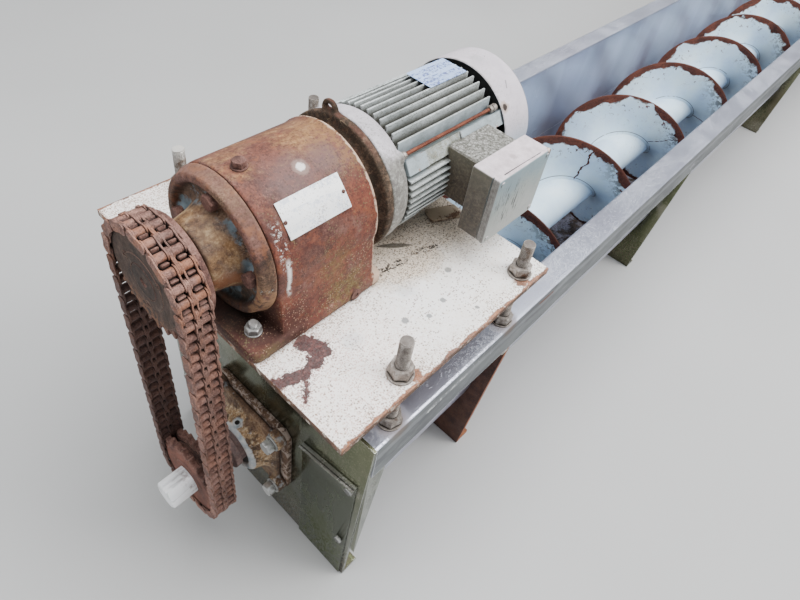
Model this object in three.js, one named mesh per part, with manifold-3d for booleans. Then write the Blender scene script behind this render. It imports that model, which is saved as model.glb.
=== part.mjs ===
// Grape auger: an open stainless screw trough on sheet supports, with a foot-mounted geared motor
// on an adjustable plate above its drive end and a duplex roller chain down to the screw shaft.
// Millimetres. +X runs along the trough away from the drive, +Z is up, the ground is z = 0 and
// x = 0, y = 0 is the middle of the drive end's foot.
import * as THREE from 'three';
import { mergeVertices } from 'three/addons/utils/BufferGeometryUtils.js';
import Module from 'manifold-3d';

const wasm = await Module();
wasm.setup();

// Fit between pieces that rest on each other
const FIT = 0.3;

// Trough
const SCREW_Z = 238;
const TROUGH_R = 210;
const SHEET = 3;
const RIM_Z = 506;
const RIM_OUT = 264;
const LIP_DEEP = 79;
const FLOOR_STEPS = 24;

// Lengths along the trough
const END_PLATE_X = -19;
const END_PLATE = 5;
const TROUGH_X = END_PLATE_X + END_PLATE;
const BAY = 1250;
const BAYS = 3;
const FAR_X = BAY * BAYS - 20;

// End plates and supports
const END_TOP_HALF = 264;
const END_FOOT_HALF = 247;
const FOOT_DEEP = 38;
const GUSSET_WIDE = 35;
const GUSSET_Z = [128, 424];
const SUPPORT_TOP_HALF = 263;
const SUPPORT_FOOT_HALF = 230;
const SUPPORT_FOOT = 40;
const RIB = 4;
const STEEL_SUPPORT = 10;
const STEEL_SUPPORT_X = 359;

// Screw
const SHAFT_R = 25;
const TUBE_R = 57.15;
const TUBE_WALL = 5;
const FLIGHT_R = 186;
const FLIGHT = 6;
const PITCH = 370;
const FLIGHT_ZERO_X = 592;
const STEPS_PER_TURN = 24;
const FLIGHT_FROM_STEP = -36;
const FLIGHT_SECTIONS = 5;
const FLIGHT_STEPS = 237;

// Duplex roller chain, 19.05 pitch
const CHAIN_PITCH = 19.05;
const TEETH = 24;
const CENTRES_IN_PITCHES = 26;
const CHAIN_X = -144.8;
const CHAIN_WIDE = 38.8;
const CHAIN_PLATE = 16;
const PITCH_R = CHAIN_PITCH / 2 / Math.sin(Math.PI / TEETH);
const CHAIN_INNER_R = PITCH_R - CHAIN_PLATE / 2;
const GEAR_Z = SCREW_Z + CENTRES_IN_PITCHES * CHAIN_PITCH;

// Motor plate on its four studs
const SHAFT_HEIGHT = 111;
const PLATE_Z = GEAR_Z - SHAFT_HEIGHT;
const PLATE = 12;
const PLATE_X = [-95, 354];
const PLATE_HALF = 269;
const STUD_R = 10;
const STUD_HOLE_R = 10.7;
const STUDS = [
  { name: 'stud_near_front', x: 33, y: -242, above: 69 },
  { name: 'stud_near_rear', x: 308, y: -242, above: 63 },
  { name: 'stud_far_front', x: 33, y: 239, above: 75 },
  { name: 'stud_far_rear', x: 308, y: 239, above: 70 },
];
const NUT = { across: 30, high: 16 };
const WASHER = { r: 19, high: 3 };

// Gearbox
const CASING_R = 103;
const CASING_X = [-50, 117];
const BASE_X = [-98, 133];
const BASE_HALF = 113;
const BASE = 17;
const COVER_X = -70;
const COVER_RIM_R = 96;
const BOSS_X = -104;

// Motor
const ADAPTER_R = 106;
const BELL_X = [147, 185];
const FRAME_X = [185, 398];
const FRAME_R = 101;
const CORE_R = 84;
const FIN = 3.4;
const FIN_ROOT = 5;
const TOP_FIN_PITCH = 12.3;
const SIDE_FIN_PITCH = 10.7;
const PAD_HALF = 11;
const PAD_OUT = 100.8;
const PAD_ANGLE = 31;
const PAD_END = 417;
const ROD_R = 4;
const ROD_OUT = 97;
const ROD_ANGLE = 42;
const COWL_X = [407, 483];
const COWL_R = 105;
const COWL_WALL = 2.5;
const BOX_X = [257, 388];
const BOX_Y = [-185, -143];
const BOX_Z = [PLATE_Z + 54, PLATE_Z + 171];

// Local x, y, z of a drawn outline laid to world y, z, x and to world x, z, -y
const ALONG_X = new THREE.Matrix4().makeBasis(
  new THREE.Vector3(0, 1, 0), new THREE.Vector3(0, 0, 1), new THREE.Vector3(1, 0, 0));
const ALONG_Y = new THREE.Matrix4().makeBasis(
  new THREE.Vector3(1, 0, 0), new THREE.Vector3(0, 0, 1), new THREE.Vector3(0, -1, 0));

const auger = new THREE.Group();
auger.name = 'grape_auger';

const paint = (color, roughness, metalness) => new THREE.MeshStandardMaterial({
  color, roughness, metalness,
});
const LOOKS = {
  stainless: () => paint(0xa9b0bd, 0.35, 0.9),
  dullStainless: () => paint(0x5b5f50, 0.5, 0.8),
  creamPlate: () => paint(0xd9cdbd, 0.7, 0.1),
  rust: () => paint(0x7a4a33, 0.9, 0.2),
  chainRust: () => paint(0x5a3a33, 0.85, 0.4),
  gearboxRust: () => paint(0x80523f, 0.8, 0.2),
  motorGrey: () => paint(0x8f9494, 0.6, 0.5),
  lilac: () => paint(0xbdb4bb, 0.5, 0.3),
  whitePaint: () => paint(0xc3ccd6, 0.5, 0.2),
  brightSteel: () => paint(0xc6c6c4, 0.3, 1),
  studSteel: () => paint(0x6a6259, 0.75, 0.6),
  plateWhite: () => paint(0xe6e6ea, 0.5, 0.1),
};

function add(name, geometry, look) {
  const mesh = new THREE.Mesh(geometry, LOOKS[look]());
  mesh.name = name;
  auger.add(mesh);
}

// A closed geometry with merged corners and every face turned outwards
function closed(geometry) {
  geometry.deleteAttribute('normal');
  geometry.deleteAttribute('uv');
  const merged = mergeVertices(geometry, 1e-4);
  const at = merged.attributes.position;
  const index = merged.index.array;
  const corner = [new THREE.Vector3(), new THREE.Vector3(), new THREE.Vector3()];
  let volume = 0;
  for (let i = 0; i < index.length; i += 3) {
    corner.forEach((c, k) => c.fromBufferAttribute(at, index[i + k]));
    volume += corner[0].dot(corner[1].clone().cross(corner[2]));
  }
  if (volume < 0) {
    for (let i = 0; i < index.length; i += 3) {
      [index[i], index[i + 1]] = [index[i + 1], index[i]];
    }
  }
  return merged;
}

function solid(geometry) {
  const ready = closed(geometry);
  return new wasm.Manifold(new wasm.Mesh({
    numProp: 3,
    vertProperties: Float32Array.from(ready.attributes.position.array),
    triVerts: Uint32Array.from(ready.index.array),
  }));
}

function surface(manifold) {
  const mesh = manifold.getMesh();
  const geometry = new THREE.BufferGeometry();
  geometry.setAttribute('position', new THREE.BufferAttribute(mesh.vertProperties, 3));
  geometry.setIndex(new THREE.BufferAttribute(mesh.triVerts, 1));
  return geometry;
}

const join = (...geometries) => surface(geometries.map(solid).reduce((all, one) => all.add(one)));
const cut = (geometry, ...tools) => surface(
  tools.map(solid).reduce((rest, tool) => rest.subtract(tool), solid(geometry)));

function outline(points, holes = []) {
  const shape = new THREE.Shape(points.map(([u, v]) => new THREE.Vector2(u, v)));
  shape.holes = holes.map((hole) => new THREE.Path(hole.map(([u, v]) => new THREE.Vector2(u, v))));
  return shape;
}

const extruded = (shape, depth) => new THREE.ExtrudeGeometry(shape, { depth, bevelEnabled: false });

// Outline in y and z, thick along x
const acrossX = (points, from, to, holes) => closed(
  extruded(outline(points, holes), to - from).applyMatrix4(ALONG_X).translate(from, 0, 0));

// Outline in x and z, thick along y
const acrossY = (points, from, to) => closed(
  extruded(outline(points), to - from).applyMatrix4(ALONG_Y).translate(0, to, 0));

const box = (x, y, z) => closed(
  new THREE.BoxGeometry(x[1] - x[0], y[1] - y[0], z[1] - z[0])
    .translate((x[0] + x[1]) / 2, (y[0] + y[1]) / 2, (z[0] + z[1]) / 2));

// Points of an arc about (cy, cz); angles run from +y towards +z
function arc(r, from, to, steps, cy = 0, cz = 0) {
  return Array.from({ length: steps + 1 }, (_, i) => {
    const a = THREE.MathUtils.degToRad(from + (to - from) * i / steps);
    return [cy + r * Math.cos(a), cz + r * Math.sin(a)];
  });
}

const circle = (r, steps, cy = 0, cz = 0) => arc(r, 0, 360, steps, cy, cz).slice(0, -1);

// Radius whose flats, not its corners, lie at r
const flats = (r, steps) => r / Math.cos(Math.PI / steps);

// Solid of revolution about an axis along x at height z; the profile is a list of [x, radius].
// A profile that never reaches the axis is a ring and is closed on itself.
function turned(profile, z, steps = 32) {
  const ring = profile.every(([, r]) => r > 0);
  const points = (ring ? [...profile, profile[0]] : profile).map(([x, r]) => new THREE.Vector2(r, x));
  const lathe = new THREE.LatheGeometry(points, steps);
  lathe.rotateZ(-Math.PI / 2);
  lathe.rotateX(Math.PI / 2);
  return closed(lathe.translate(0, 0, z));
}

// Upright round or hexagonal rod
function upright(r, x, y, z, steps = 16) {
  const rod = new THREE.CylinderGeometry(r, r, z[1] - z[0], steps);
  return closed(rod.rotateX(Math.PI / 2).translate(x, y, (z[0] + z[1]) / 2));
}

const hexNut = (x, y, z) => upright(NUT.across / Math.sqrt(3), x, y, [z, z + NUT.high], 6);
const washer = (x, y, z) => upright(WASHER.r, x, y, [z, z + WASHER.high], 20);

// Half width of a leg that tapers from the rim to the ground
const taper = (z, top, foot) => foot + (top - foot) * z / RIM_Z;

function addTroughSheets() {
  const wall = TROUGH_R + SHEET;
  const lipZ = RIM_Z - LIP_DEEP;
  const section = [
    [TROUGH_R, SCREW_Z + FIT], [wall, SCREW_Z + FIT], [wall, RIM_Z - SHEET],
    [RIM_OUT - SHEET, RIM_Z - SHEET], [RIM_OUT - SHEET, lipZ], [RIM_OUT, lipZ], [RIM_OUT, RIM_Z],
    [TROUGH_R, RIM_Z],
  ];
  const from = TROUGH_X + FIT;
  const to = FAR_X - FIT;
  for (const [side, sign] of [['near', -1], ['far', 1]]) {
    const sheet = acrossX(section.map(([y, z]) => [sign * y, z]), from, to);
    const holes = STUDS.filter((stud) => Math.sign(stud.y) === sign)
      .map((stud) => upright(STUD_HOLE_R, stud.x, stud.y, [RIM_Z - 2 * SHEET, RIM_Z + SHEET]));
    add(`${side}_side_and_rim`, cut(sheet, ...holes), 'stainless');
  }
  const floor = [
    ...arc(TROUGH_R + SHEET, 180, 360, FLOOR_STEPS, 0, SCREW_Z),
    ...arc(TROUGH_R, 360, 180, FLOOR_STEPS, 0, SCREW_Z),
  ];
  add('trough_floor', acrossX(floor, from, to), 'stainless');
}

// End plate with its foot, and the tapered returns folded back under the lips; "inward" is +1 at
// the drive end and -1 at the far end
function endPlate(outerX, inward) {
  const innerX = outerX + inward * END_PLATE;
  const range = (a, b) => (a < b ? [a, b] : [b, a]);
  const plate = acrossX(
    [[-END_FOOT_HALF, 0], [END_FOOT_HALF, 0], [END_TOP_HALF, RIM_Z], [-END_TOP_HALF, RIM_Z]],
    ...range(outerX, innerX), [circle(SHAFT_R + 10, 24, 0, SCREW_Z)]);
  const foot = box(
    range(outerX, outerX + inward * FOOT_DEEP), [-END_FOOT_HALF, END_FOOT_HALF], [0, END_PLATE]);
  const root = innerX - inward;
  const [low, high] = GUSSET_Z;
  const edge = taper(high, END_TOP_HALF, END_FOOT_HALF);
  const gusset = [[root, low], [root, high], [innerX + inward * GUSSET_WIDE, high]];
  const lean = taper(low, END_TOP_HALF, END_FOOT_HALF) - SHEET;
  return join(plate, foot, acrossY(gusset, -edge, -lean), acrossY(gusset, lean, edge));
}

function addEnds() {
  add('drive_end_plate', endPlate(END_PLATE_X, 1), 'dullStainless');
  add('far_end_plate', endPlate(FAR_X + END_PLATE, -1), 'dullStainless');
  // Folded stiffeners bolted to the lower corners of the drive end plate
  const back = END_PLATE_X - FIT;
  for (const [side, sign] of [['near', -1], ['far', 1]]) {
    const sheet = [[125, 0], [240, 0], [247, 377], [125, 351]].map(([y, z]) => [sign * y, z]);
    const ledge = [[125, 348], [247, 374], [247, 377], [125, 351]].map(([y, z]) => [sign * y, z]);
    add(`${side}_corner_stiffener`, join(
      acrossX(sheet, back - SHEET, back),
      acrossX(ledge, back - 12, back)), 'dullStainless');
  }
}

// Full-width support sheet, cut out around the trough and tucked up under the rims
function supportSheet(x, thick) {
  const hollow = TROUGH_R + SHEET + FIT;
  const lipZ = RIM_Z - LIP_DEEP;
  const inLip = RIM_OUT - SHEET - FIT;
  const half = (z) => taper(z, SUPPORT_TOP_HALF, SUPPORT_FOOT_HALF);
  const points = [
    [half(0), 0], [half(lipZ - FIT), lipZ - FIT], [inLip, lipZ - FIT], [inLip, RIM_Z - SHEET - FIT],
    [hollow, RIM_Z - SHEET - FIT],
    ...arc(hollow, 360, 180, FLOOR_STEPS, 0, SCREW_Z),
    [-hollow, RIM_Z - SHEET - FIT], [-inLip, RIM_Z - SHEET - FIT], [-inLip, lipZ - FIT],
    [-half(lipZ - FIT), lipZ - FIT], [-half(0), 0],
  ];
  return join(
    acrossX(points, x, x + thick),
    box([x, x + SUPPORT_FOOT], [-SUPPORT_FOOT_HALF, SUPPORT_FOOT_HALF], [0, thick]));
}

function addSupports() {
  add('steel_support', supportSheet(STEEL_SUPPORT_X, STEEL_SUPPORT), 'rust');
  for (let bay = 1; bay < BAYS; bay++) {
    add(`support_rib_${bay}`, supportSheet(BAY * bay - 20, RIB), 'dullStainless');
  }
}

function addBearing(end, face, outward) {
  const out = (distance) => face + outward * distance;
  const range = (a, b) => (a < b ? [a, b] : [b, a]);
  const corner = 14;
  const chamfered = (half) => [
    [-half, -half + corner], [-half + corner, -half], [half - corner, -half], [half, -half + corner],
    [half, half - corner], [half - corner, half], [-half + corner, half], [-half, half - corner],
  ].map(([y, z]) => [y, z + SCREW_Z]);
  const clearHole = [circle(flats(SHAFT_R + 8, 24), 24, 0, SCREW_Z)];
  const runningHole = flats(SHAFT_R + 0.4, 24);
  add(`${end}_bearing_plate`, acrossX(chamfered(96), ...range(out(FIT), out(10)), clearHole), 'rust');
  const flange = acrossX(
    chamfered(81), ...range(out(10 + FIT), out(26)), [circle(runningHole, 24, 0, SCREW_Z)]);
  const boss = turned([
    [out(20), runningHole], [out(20), 64], [out(44), 60], [out(54), 52], [out(54), runningHole],
  ], SCREW_Z, 24);
  add(`${end}_flange_bearing`, join(flange, boss), 'whitePaint');
}

function addScrew() {
  const inside = TUBE_R - TUBE_WALL - FIT;
  const tube = [8, FAR_X - 8 - END_PLATE];
  const collar = [-90, -78];
  const stub = [-206, 8 + 20];
  const driveShaft = turned([
    [stub[0], 0], [stub[0], SHAFT_R - 1.5], [stub[0] + 1.5, SHAFT_R], [collar[0], SHAFT_R],
    [collar[0], 36], [collar[1], 36], [collar[1], SHAFT_R], [tube[0], SHAFT_R],
    [tube[0], inside], [stub[1], inside], [stub[1], 0],
  ], SCREW_Z, 24);
  const keyway = box([stub[0] - 1, -160], [-7, 7], [SCREW_Z + SHAFT_R - 5.5, SCREW_Z + SHAFT_R + 5]);
  add('screw_drive_shaft', cut(driveShaft, keyway), 'brightSteel');
  const farShaft = turned([
    [tube[1] - 20, 0], [tube[1] - 20, inside], [tube[1], inside], [tube[1], SHAFT_R],
    [FAR_X + 75, SHAFT_R], [FAR_X + 75, 0],
  ], SCREW_Z, 24);
  add('screw_far_shaft', farShaft, 'brightSteel');
  add('screw_tube', acrossX(
    circle(TUBE_R, STEPS_PER_TURN, 0, SCREW_Z), tube[0], tube[1],
    [circle(TUBE_R - TUBE_WALL, STEPS_PER_TURN, 0, SCREW_Z)]), 'whitePaint');
  const seam = (section) => FLIGHT_FROM_STEP + Math.round(FLIGHT_STEPS * section / FLIGHT_SECTIONS);
  for (let section = 1; section <= FLIGHT_SECTIONS; section++) {
    add(`flight_section_${section}`, flight(seam(section - 1), seam(section)), 'whitePaint');
  }
}

// Right-handed ribbon of the screw between two steps of its turns
function flight(first, last) {
  const positions = [];
  const index = [];
  const gap = FIT / 2;
  for (let step = first; step <= last; step++) {
    const angle = 2 * Math.PI * step / STEPS_PER_TURN;
    const trim = step === first ? gap : step === last ? -gap : 0;
    const x = FLIGHT_ZERO_X + PITCH * step / STEPS_PER_TURN + trim;
    for (const [r, side] of [[TUBE_R + FIT, -1], [FLIGHT_R, -1], [FLIGHT_R, 1], [TUBE_R + FIT, 1]]) {
      positions.push(x + side * FLIGHT / 2, r * Math.cos(angle), SCREW_Z + r * Math.sin(angle));
    }
  }
  const rings = last - first;
  for (let ring = 0; ring < rings; ring++) {
    for (let k = 0; k < 4; k++) {
      const a = ring * 4 + k;
      const b = ring * 4 + (k + 1) % 4;
      index.push(a, b, b + 4, a, b + 4, a + 4);
    }
  }
  const end = rings * 4;
  index.push(0, 2, 1, 0, 3, 2, end, end + 1, end + 2, end, end + 2, end + 3);
  const geometry = new THREE.BufferGeometry();
  geometry.setAttribute('position', new THREE.Float32BufferAttribute(positions, 3));
  geometry.setIndex(index);
  return closed(geometry);
}

function addChainDrive() {
  const steps = 16;
  const loop = (r) => [
    ...arc(r, 0, 180, steps, 0, GEAR_Z),
    ...arc(r, 180, 360, steps, 0, SCREW_Z),
  ];
  const innerCorner = CHAIN_INNER_R / Math.cos(Math.PI / 2 / steps);
  add('drive_chain', acrossX(
    loop(PITCH_R + CHAIN_PLATE / 2), CHAIN_X - CHAIN_WIDE / 2, CHAIN_X + CHAIN_WIDE / 2,
    [loop(innerCorner)]), 'chainRust');
  const wheelR = CHAIN_INNER_R - 0.6;
  const bore = flats(SHAFT_R + FIT, 24);
  const face = CHAIN_X - 16.5;
  const back = CHAIN_X + 16.5;
  add('lower_sprocket', turned([
    [face, bore], [face, wheelR], [back, wheelR], [back, 42], [back + 22, 42], [back + 22, bore],
  ], SCREW_Z, 36), 'chainRust');
  add('upper_sprocket', turned([
    [face, bore], [face, wheelR], [back, wheelR], [back, 48], [-122, 48], [-122, 70], [-114, 70],
    [-114, bore],
  ], GEAR_Z, 36), 'chainRust');
}

function addMotorPlate() {
  const holes = STUDS.map((stud) => upright(
    STUD_HOLE_R, stud.x, stud.y, [PLATE_Z - 2 * PLATE, PLATE_Z + PLATE]));
  add('motor_plate', cut(
    box(PLATE_X, [-PLATE_HALF, PLATE_HALF], [PLATE_Z - PLATE, PLATE_Z]), ...holes), 'creamPlate');
  for (const { name, x, y, above } of STUDS) {
    const underRim = RIM_Z - SHEET - FIT - WASHER.high;
    const underPlate = PLATE_Z - PLATE - FIT - WASHER.high;
    add(name, join(
      upright(STUD_R, x, y, [underRim - NUT.high - 12, PLATE_Z + above], 12),
      washer(x, y, underRim),
      hexNut(x, y, underRim - NUT.high),
      washer(x, y, RIM_Z + FIT),
      hexNut(x, y, RIM_Z + FIT + WASHER.high),
      washer(x, y, underPlate),
      hexNut(x, y, underPlate - NUT.high),
      washer(x, y, PLATE_Z + FIT),
      hexNut(x, y, PLATE_Z + FIT + WASHER.high)), 'studSteel');
  }
}

function addGearbox() {
  const baseZ = PLATE_Z + FIT;
  const baseTop = baseZ + BASE;
  const drum = turned([
    [CASING_X[0], 0], [CASING_X[0], CASING_R], [CASING_X[1], CASING_R], [CASING_X[1], 0],
  ], GEAR_Z, 40);
  const pedestal = acrossX([
    [-BASE_HALF + 2, baseZ + 3], [BASE_HALF - 2, baseZ + 3], [BASE_HALF - 4, baseTop + 10],
    [CASING_R, GEAR_Z - 20], [-CASING_R, GEAR_Z - 20], [-BASE_HALF + 4, baseTop + 10],
  ], CASING_X[0] + 1, CASING_X[1] - 1);
  const base = box(BASE_X, [-BASE_HALF, BASE_HALF], [baseZ, baseTop]);
  const coverRoom = turned([
    [BASE_X[0] - 1, 0], [BASE_X[0] - 1, CASING_R], [CASING_X[0], CASING_R], [CASING_X[0], 0],
  ], GEAR_Z, 40);
  add('gearbox_casing', cut(join(drum, pedestal, base), coverRoom), 'gearboxRust');

  // Dished front cover with the output boss
  const joint = CASING_X[0] - FIT;
  const running = flats(SHAFT_R + 0.4, 24);
  add('gearbox_front_cover', turned([
    [joint, running], [joint, CASING_R - 1], [COVER_X + 3, COVER_RIM_R], [COVER_X, COVER_RIM_R - 3],
    [COVER_X, 84], [joint - 8, 80], [joint - 8, 60], [COVER_X - 6, 54], [BOSS_X, 48], [BOSS_X, running],
  ], GEAR_Z, 40), 'gearboxRust');

  const shaft = [CHAIN_X - 17.5, joint - 2];
  add('gearbox_output_shaft', turned([
    [shaft[0], 0], [shaft[0], SHAFT_R], [shaft[1], SHAFT_R], [shaft[1], 0],
  ], GEAR_Z, 24), 'chainRust');

  // Curved data plate on the near upper side, and the breather plug on top
  const plateArc = (r, from, to) => arc(r, from, to, 4, 0, GEAR_Z);
  add('gearbox_data_plate', acrossX(
    [...plateArc(CASING_R + 1.6, 126, 151.5), ...plateArc(CASING_R + FIT, 151.5, 126)],
    -24, 73), 'plateWhite');
  const crown = GEAR_Z + CASING_R;
  add('gearbox_top_plug', upright(8.5, -26, -2, [crown + FIT, crown + 10], 6), 'gearboxRust');
}

function addMotor() {
  const adapter = turned([
    [CASING_X[1] + FIT, 0], [CASING_X[1] + FIT, 88], [134, 92], [134, ADAPTER_R],
    [BELL_X[0] - FIT, ADAPTER_R], [BELL_X[0] - FIT, 0],
  ], GEAR_Z, 40);
  const ear = acrossX(circle(15, 16, 26, GEAR_Z + 103), 138, 146, [circle(7, 12, 26, GEAR_Z + 103)]);
  const earFoot = acrossX(
    [[13, GEAR_Z + 95], [39, GEAR_Z + 90], [37, GEAR_Z + 98], [15, GEAR_Z + 98]], 138, 146);
  add('motor_adapter', join(adapter, cut(ear, earFoot), earFoot), 'rust');
  add('motor_end_bell', turned([
    [BELL_X[0], 0], [BELL_X[0], 104], [BELL_X[0] + 10, 105], [BELL_X[1] - 8, 101], [BELL_X[1] - FIT, 97],
    [BELL_X[1] - FIT, 0],
  ], GEAR_Z, 40), 'lilac');
  add('motor_frame', motorFrame(), 'motorGrey');

  const inner = COWL_R - COWL_WALL;
  const fanRoom = PAD_END + FIT;
  add('fan_cowl', turned([
    [fanRoom, 0], [fanRoom, inner], [COWL_X[0], inner], [COWL_X[0], COWL_R], [COWL_X[1] - 10, COWL_R],
    [COWL_X[1] - 2, COWL_R - 8], [COWL_X[1], COWL_R - 18], [COWL_X[1], 0],
  ], GEAR_Z, 40), 'lilac');

  const plateZ = GEAR_Z + FRAME_R + FIT;
  add('motor_data_plate', box([305, 392], [-14, 36], [plateZ, plateZ + 1.5]), 'plateWhite');

  for (const [side, sign] of [['near', -1], ['far', 1]]) {
    const rod = turned([
      [BELL_X[1], 0], [BELL_X[1], ROD_R], [FRAME_X[1], ROD_R], [FRAME_X[1], 0],
    ], 0, 10);
    const a = THREE.MathUtils.degToRad(ROD_ANGLE);
    rod.translate(0, sign * ROD_OUT * Math.cos(a), GEAR_Z + ROD_OUT * Math.sin(a));
    add(`${side}_tie_rod`, rod, 'rust');
  }

  addTerminalBox();
}

// Finned frame: upright fins above and below, level fins at the sides and four pads between them
function motorFrame() {
  const tip = FIN / 2;
  const root = FIN_ROOT / 2;
  const side = (pitch, half) => {
    const points = [];
    for (let k = -half; k <= half; k++) {
      const u = k * pitch;
      const top = Math.sqrt(FRAME_R ** 2 - u ** 2);
      const low = Math.sqrt(CORE_R ** 2 - u ** 2);
      points.push([u - root, low], [u - tip, top], [u + tip, top], [u + root, low]);
    }
    return points;
  };
  const top = side(TOP_FIN_PITCH, 5);
  const near = side(SIDE_FIN_PITCH, 3);
  const around = [
    ...top.map(([u, v]) => [-u, v]),
    ...near.map(([u, v]) => [-v, -u]),
    ...top.map(([u, v]) => [u, -v]),
    ...near.map(([u, v]) => [v, u]),
  ].map(([y, z]) => [y, z + GEAR_Z]);
  const fins = acrossX(around, FRAME_X[0], FRAME_X[1]);
  const core = turned([
    [FRAME_X[0], 0], [FRAME_X[0], CORE_R - 1], [PAD_END, CORE_R - 1], [PAD_END, 0],
  ], GEAR_Z, 40);
  const pads = [PAD_ANGLE, 180 - PAD_ANGLE, 180 + PAD_ANGLE, -PAD_ANGLE].map((angle) => {
    const pad = box([FRAME_X[0], PAD_END], [70, PAD_OUT], [-PAD_HALF, PAD_HALF]);
    return pad.rotateX(THREE.MathUtils.degToRad(angle)).translate(0, 0, GEAR_Z);
  });
  return join(fins, core, ...pads);
}

function addTerminalBox() {
  const neckZ = [BOX_Z[0] + 24, BOX_Z[1] - 28];
  add('terminal_box', join(
    box(BOX_X, BOX_Y, BOX_Z),
    box([BOX_X[0] + 25, BOX_X[1] - 25], [BOX_Y[1] - 1, -FRAME_R - FIT], neckZ)), 'motorGrey');
  const lidY = BOX_Y[0] - FIT;
  add('terminal_box_lid', box(
    [BOX_X[0] - 1, BOX_X[1] + 1], [lidY - 6, lidY], [BOX_Z[0] - 1, BOX_Z[1] + 1]), 'lilac');
  const gland = turned([[FIT, 0], [FIT, 13], [14, 13], [14, 9], [22, 8], [22, 0]], 0, 12);
  add('cable_gland', gland.translate(BOX_X[1], -164, BOX_Z[1] - 40), 'plateWhite');
}

addTroughSheets();
addEnds();
addSupports();
addBearing('drive', END_PLATE_X, -1);
addBearing('far', FAR_X + END_PLATE, 1);
addScrew();
addChainDrive();
addMotorPlate();
addGearbox();
addMotor();

export default auger;
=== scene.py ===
"""The looks of the grape auger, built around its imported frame."""
import math
import random

import bmesh
import bpy
import numpy as np
from mathutils import Matrix, Vector, noise


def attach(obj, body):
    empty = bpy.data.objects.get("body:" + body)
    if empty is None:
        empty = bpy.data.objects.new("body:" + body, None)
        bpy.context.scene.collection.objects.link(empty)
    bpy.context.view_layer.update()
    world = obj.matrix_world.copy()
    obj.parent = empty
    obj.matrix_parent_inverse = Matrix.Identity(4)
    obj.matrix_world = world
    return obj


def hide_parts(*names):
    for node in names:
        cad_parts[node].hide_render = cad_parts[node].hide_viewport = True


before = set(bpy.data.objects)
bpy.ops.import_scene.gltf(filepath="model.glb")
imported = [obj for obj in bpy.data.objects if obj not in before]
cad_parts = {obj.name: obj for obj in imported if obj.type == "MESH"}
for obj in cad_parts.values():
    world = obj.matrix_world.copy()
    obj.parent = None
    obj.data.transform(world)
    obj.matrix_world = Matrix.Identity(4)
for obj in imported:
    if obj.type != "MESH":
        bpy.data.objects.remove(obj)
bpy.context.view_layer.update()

chance = random.Random(7)
MM = 0.001
TURN = math.tau

# Millimetres, as in the part's source
FIT = 0.3
SCREW_Z, TROUGH_R, SHEET = 238, 210, 3
RIM_Z, RIM_OUT, LIP_DEEP = 506, 264, 79
DRIVE_FACE_X, END_PLATE, FAR_X = -19, 5, 3730
SHAFT_R, TUBE_R, FLIGHT_R, FLIGHT = 25, 57.15, 186, 6
PITCH, FLIGHT_ZERO_X, STEPS_PER_TURN = 370, 592, 24
FLIGHT_FROM_STEP, FLIGHT_STEPS, FLIGHT_SECTIONS = -36, 237, 5
CHAIN_PITCH, TEETH, CHAIN_CENTRES, CHAIN_X = 19.05, 24, 26, -144.8
PITCH_R = CHAIN_PITCH / 2 / math.sin(math.pi / TEETH)
GEAR_Z = SCREW_Z + CHAIN_CENTRES * CHAIN_PITCH
PLATE_Z, PLATE = GEAR_Z - 111, 12
PLATE_HALF = 269
STUDS = {
    "near_front": (33, -242, 69), "near_rear": (308, -242, 63),
    "far_front": (33, 239, 75), "far_rear": (308, 239, 70),
}
STUD_R, NUT_ACROSS, NUT_HIGH, WASHER_R, WASHER = 10, 30, 16, 19, 3
CASING_R, CASING_X = 103, (-50, 117)
BASE_X, BASE_HALF, BASE = (-98, 133), 113, 17
FOOT_BOLTS = (-72, -78), (-72, 78), (114, -90), (114, 90)
COVER_BOLTS, COVER_BOLTS_R = (2, 92, 182, 272), 72
ADAPTER_R, BELL_X, FRAME_X = 106, (147, 185), (185, 398)
FRAME_R, CORE_R, PAD_ANGLE, PAD_END = 101, 84, 31, 417
COWL_X, COWL_R = (407, 483), 105
BOX_X, BOX_Y, BOX_Z = (257, 388), (-185, -143), (PLATE_Z + 54, PLATE_Z + 171)


# Shells: points in millimetres and the faces between them

def loft(rings, looped=False):
    """Joins rings of equal length; open ends are closed with a face each."""
    count = len(rings[0])
    rows = len(rings)
    faces = []
    for row in range(rows if looped else rows - 1):
        a, b = row * count, (row + 1) % rows * count
        faces += [(a + k, a + (k + 1) % count, b + (k + 1) % count, b + k) for k in range(count)]
    if not looped:
        faces += [tuple(range(count))[::-1], tuple(range((rows - 1) * count, rows * count))]
    return np.concatenate(rings).astype(float), faces


def turned(profile, steps=48, looped=False, z=0):
    """Round body along +X at a height, from (place, radius) pairs."""
    angle = np.arange(steps) * TURN / steps
    ring = np.stack([np.zeros(steps), np.cos(angle), np.sin(angle)], 1)
    return loft([ring * (1, r, r) + (x, 0, z) for x, r in profile], looped)


def moved(shell, x=0, y=0, z=0):
    """A shell shifted by millimetres."""
    return shell[0] + (x, y, z), shell[1]


def aimed(shell, at, towards, spin=0):
    """Turns a shell built along +X to point another way, then moves it."""
    turn = Vector((1, 0, 0)).rotation_difference(Vector(towards)).to_matrix()
    matrix = np.array(turn @ Matrix.Rotation(spin, 3, "X"))
    return shell[0] @ matrix.T + np.array(at, float), shell[1]


def inset(outline, depth):
    """Moves a closed outline inwards by a depth."""
    p = np.asarray(outline, float)
    along = np.roll(p, -1, 0) - p
    along /= np.linalg.norm(along, axis=1)[:, None]
    out = np.stack([along[:, 1], -along[:, 0]], 1)
    before = np.roll(out, 1, 0)
    mitre = (before + out) / (1 + (before * out).sum(1))[:, None]
    area = (p[:, 0] * np.roll(p[:, 1], -1) - np.roll(p[:, 0], -1) * p[:, 1]).sum()
    return p - mitre * depth * math.copysign(1, area)


def stacked(levels, axis=0):
    """Joins flat outlines that stand at levels along one axis."""
    return loft([np.insert(np.asarray(flat, float), axis, at, axis=1) for at, flat in levels])


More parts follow.
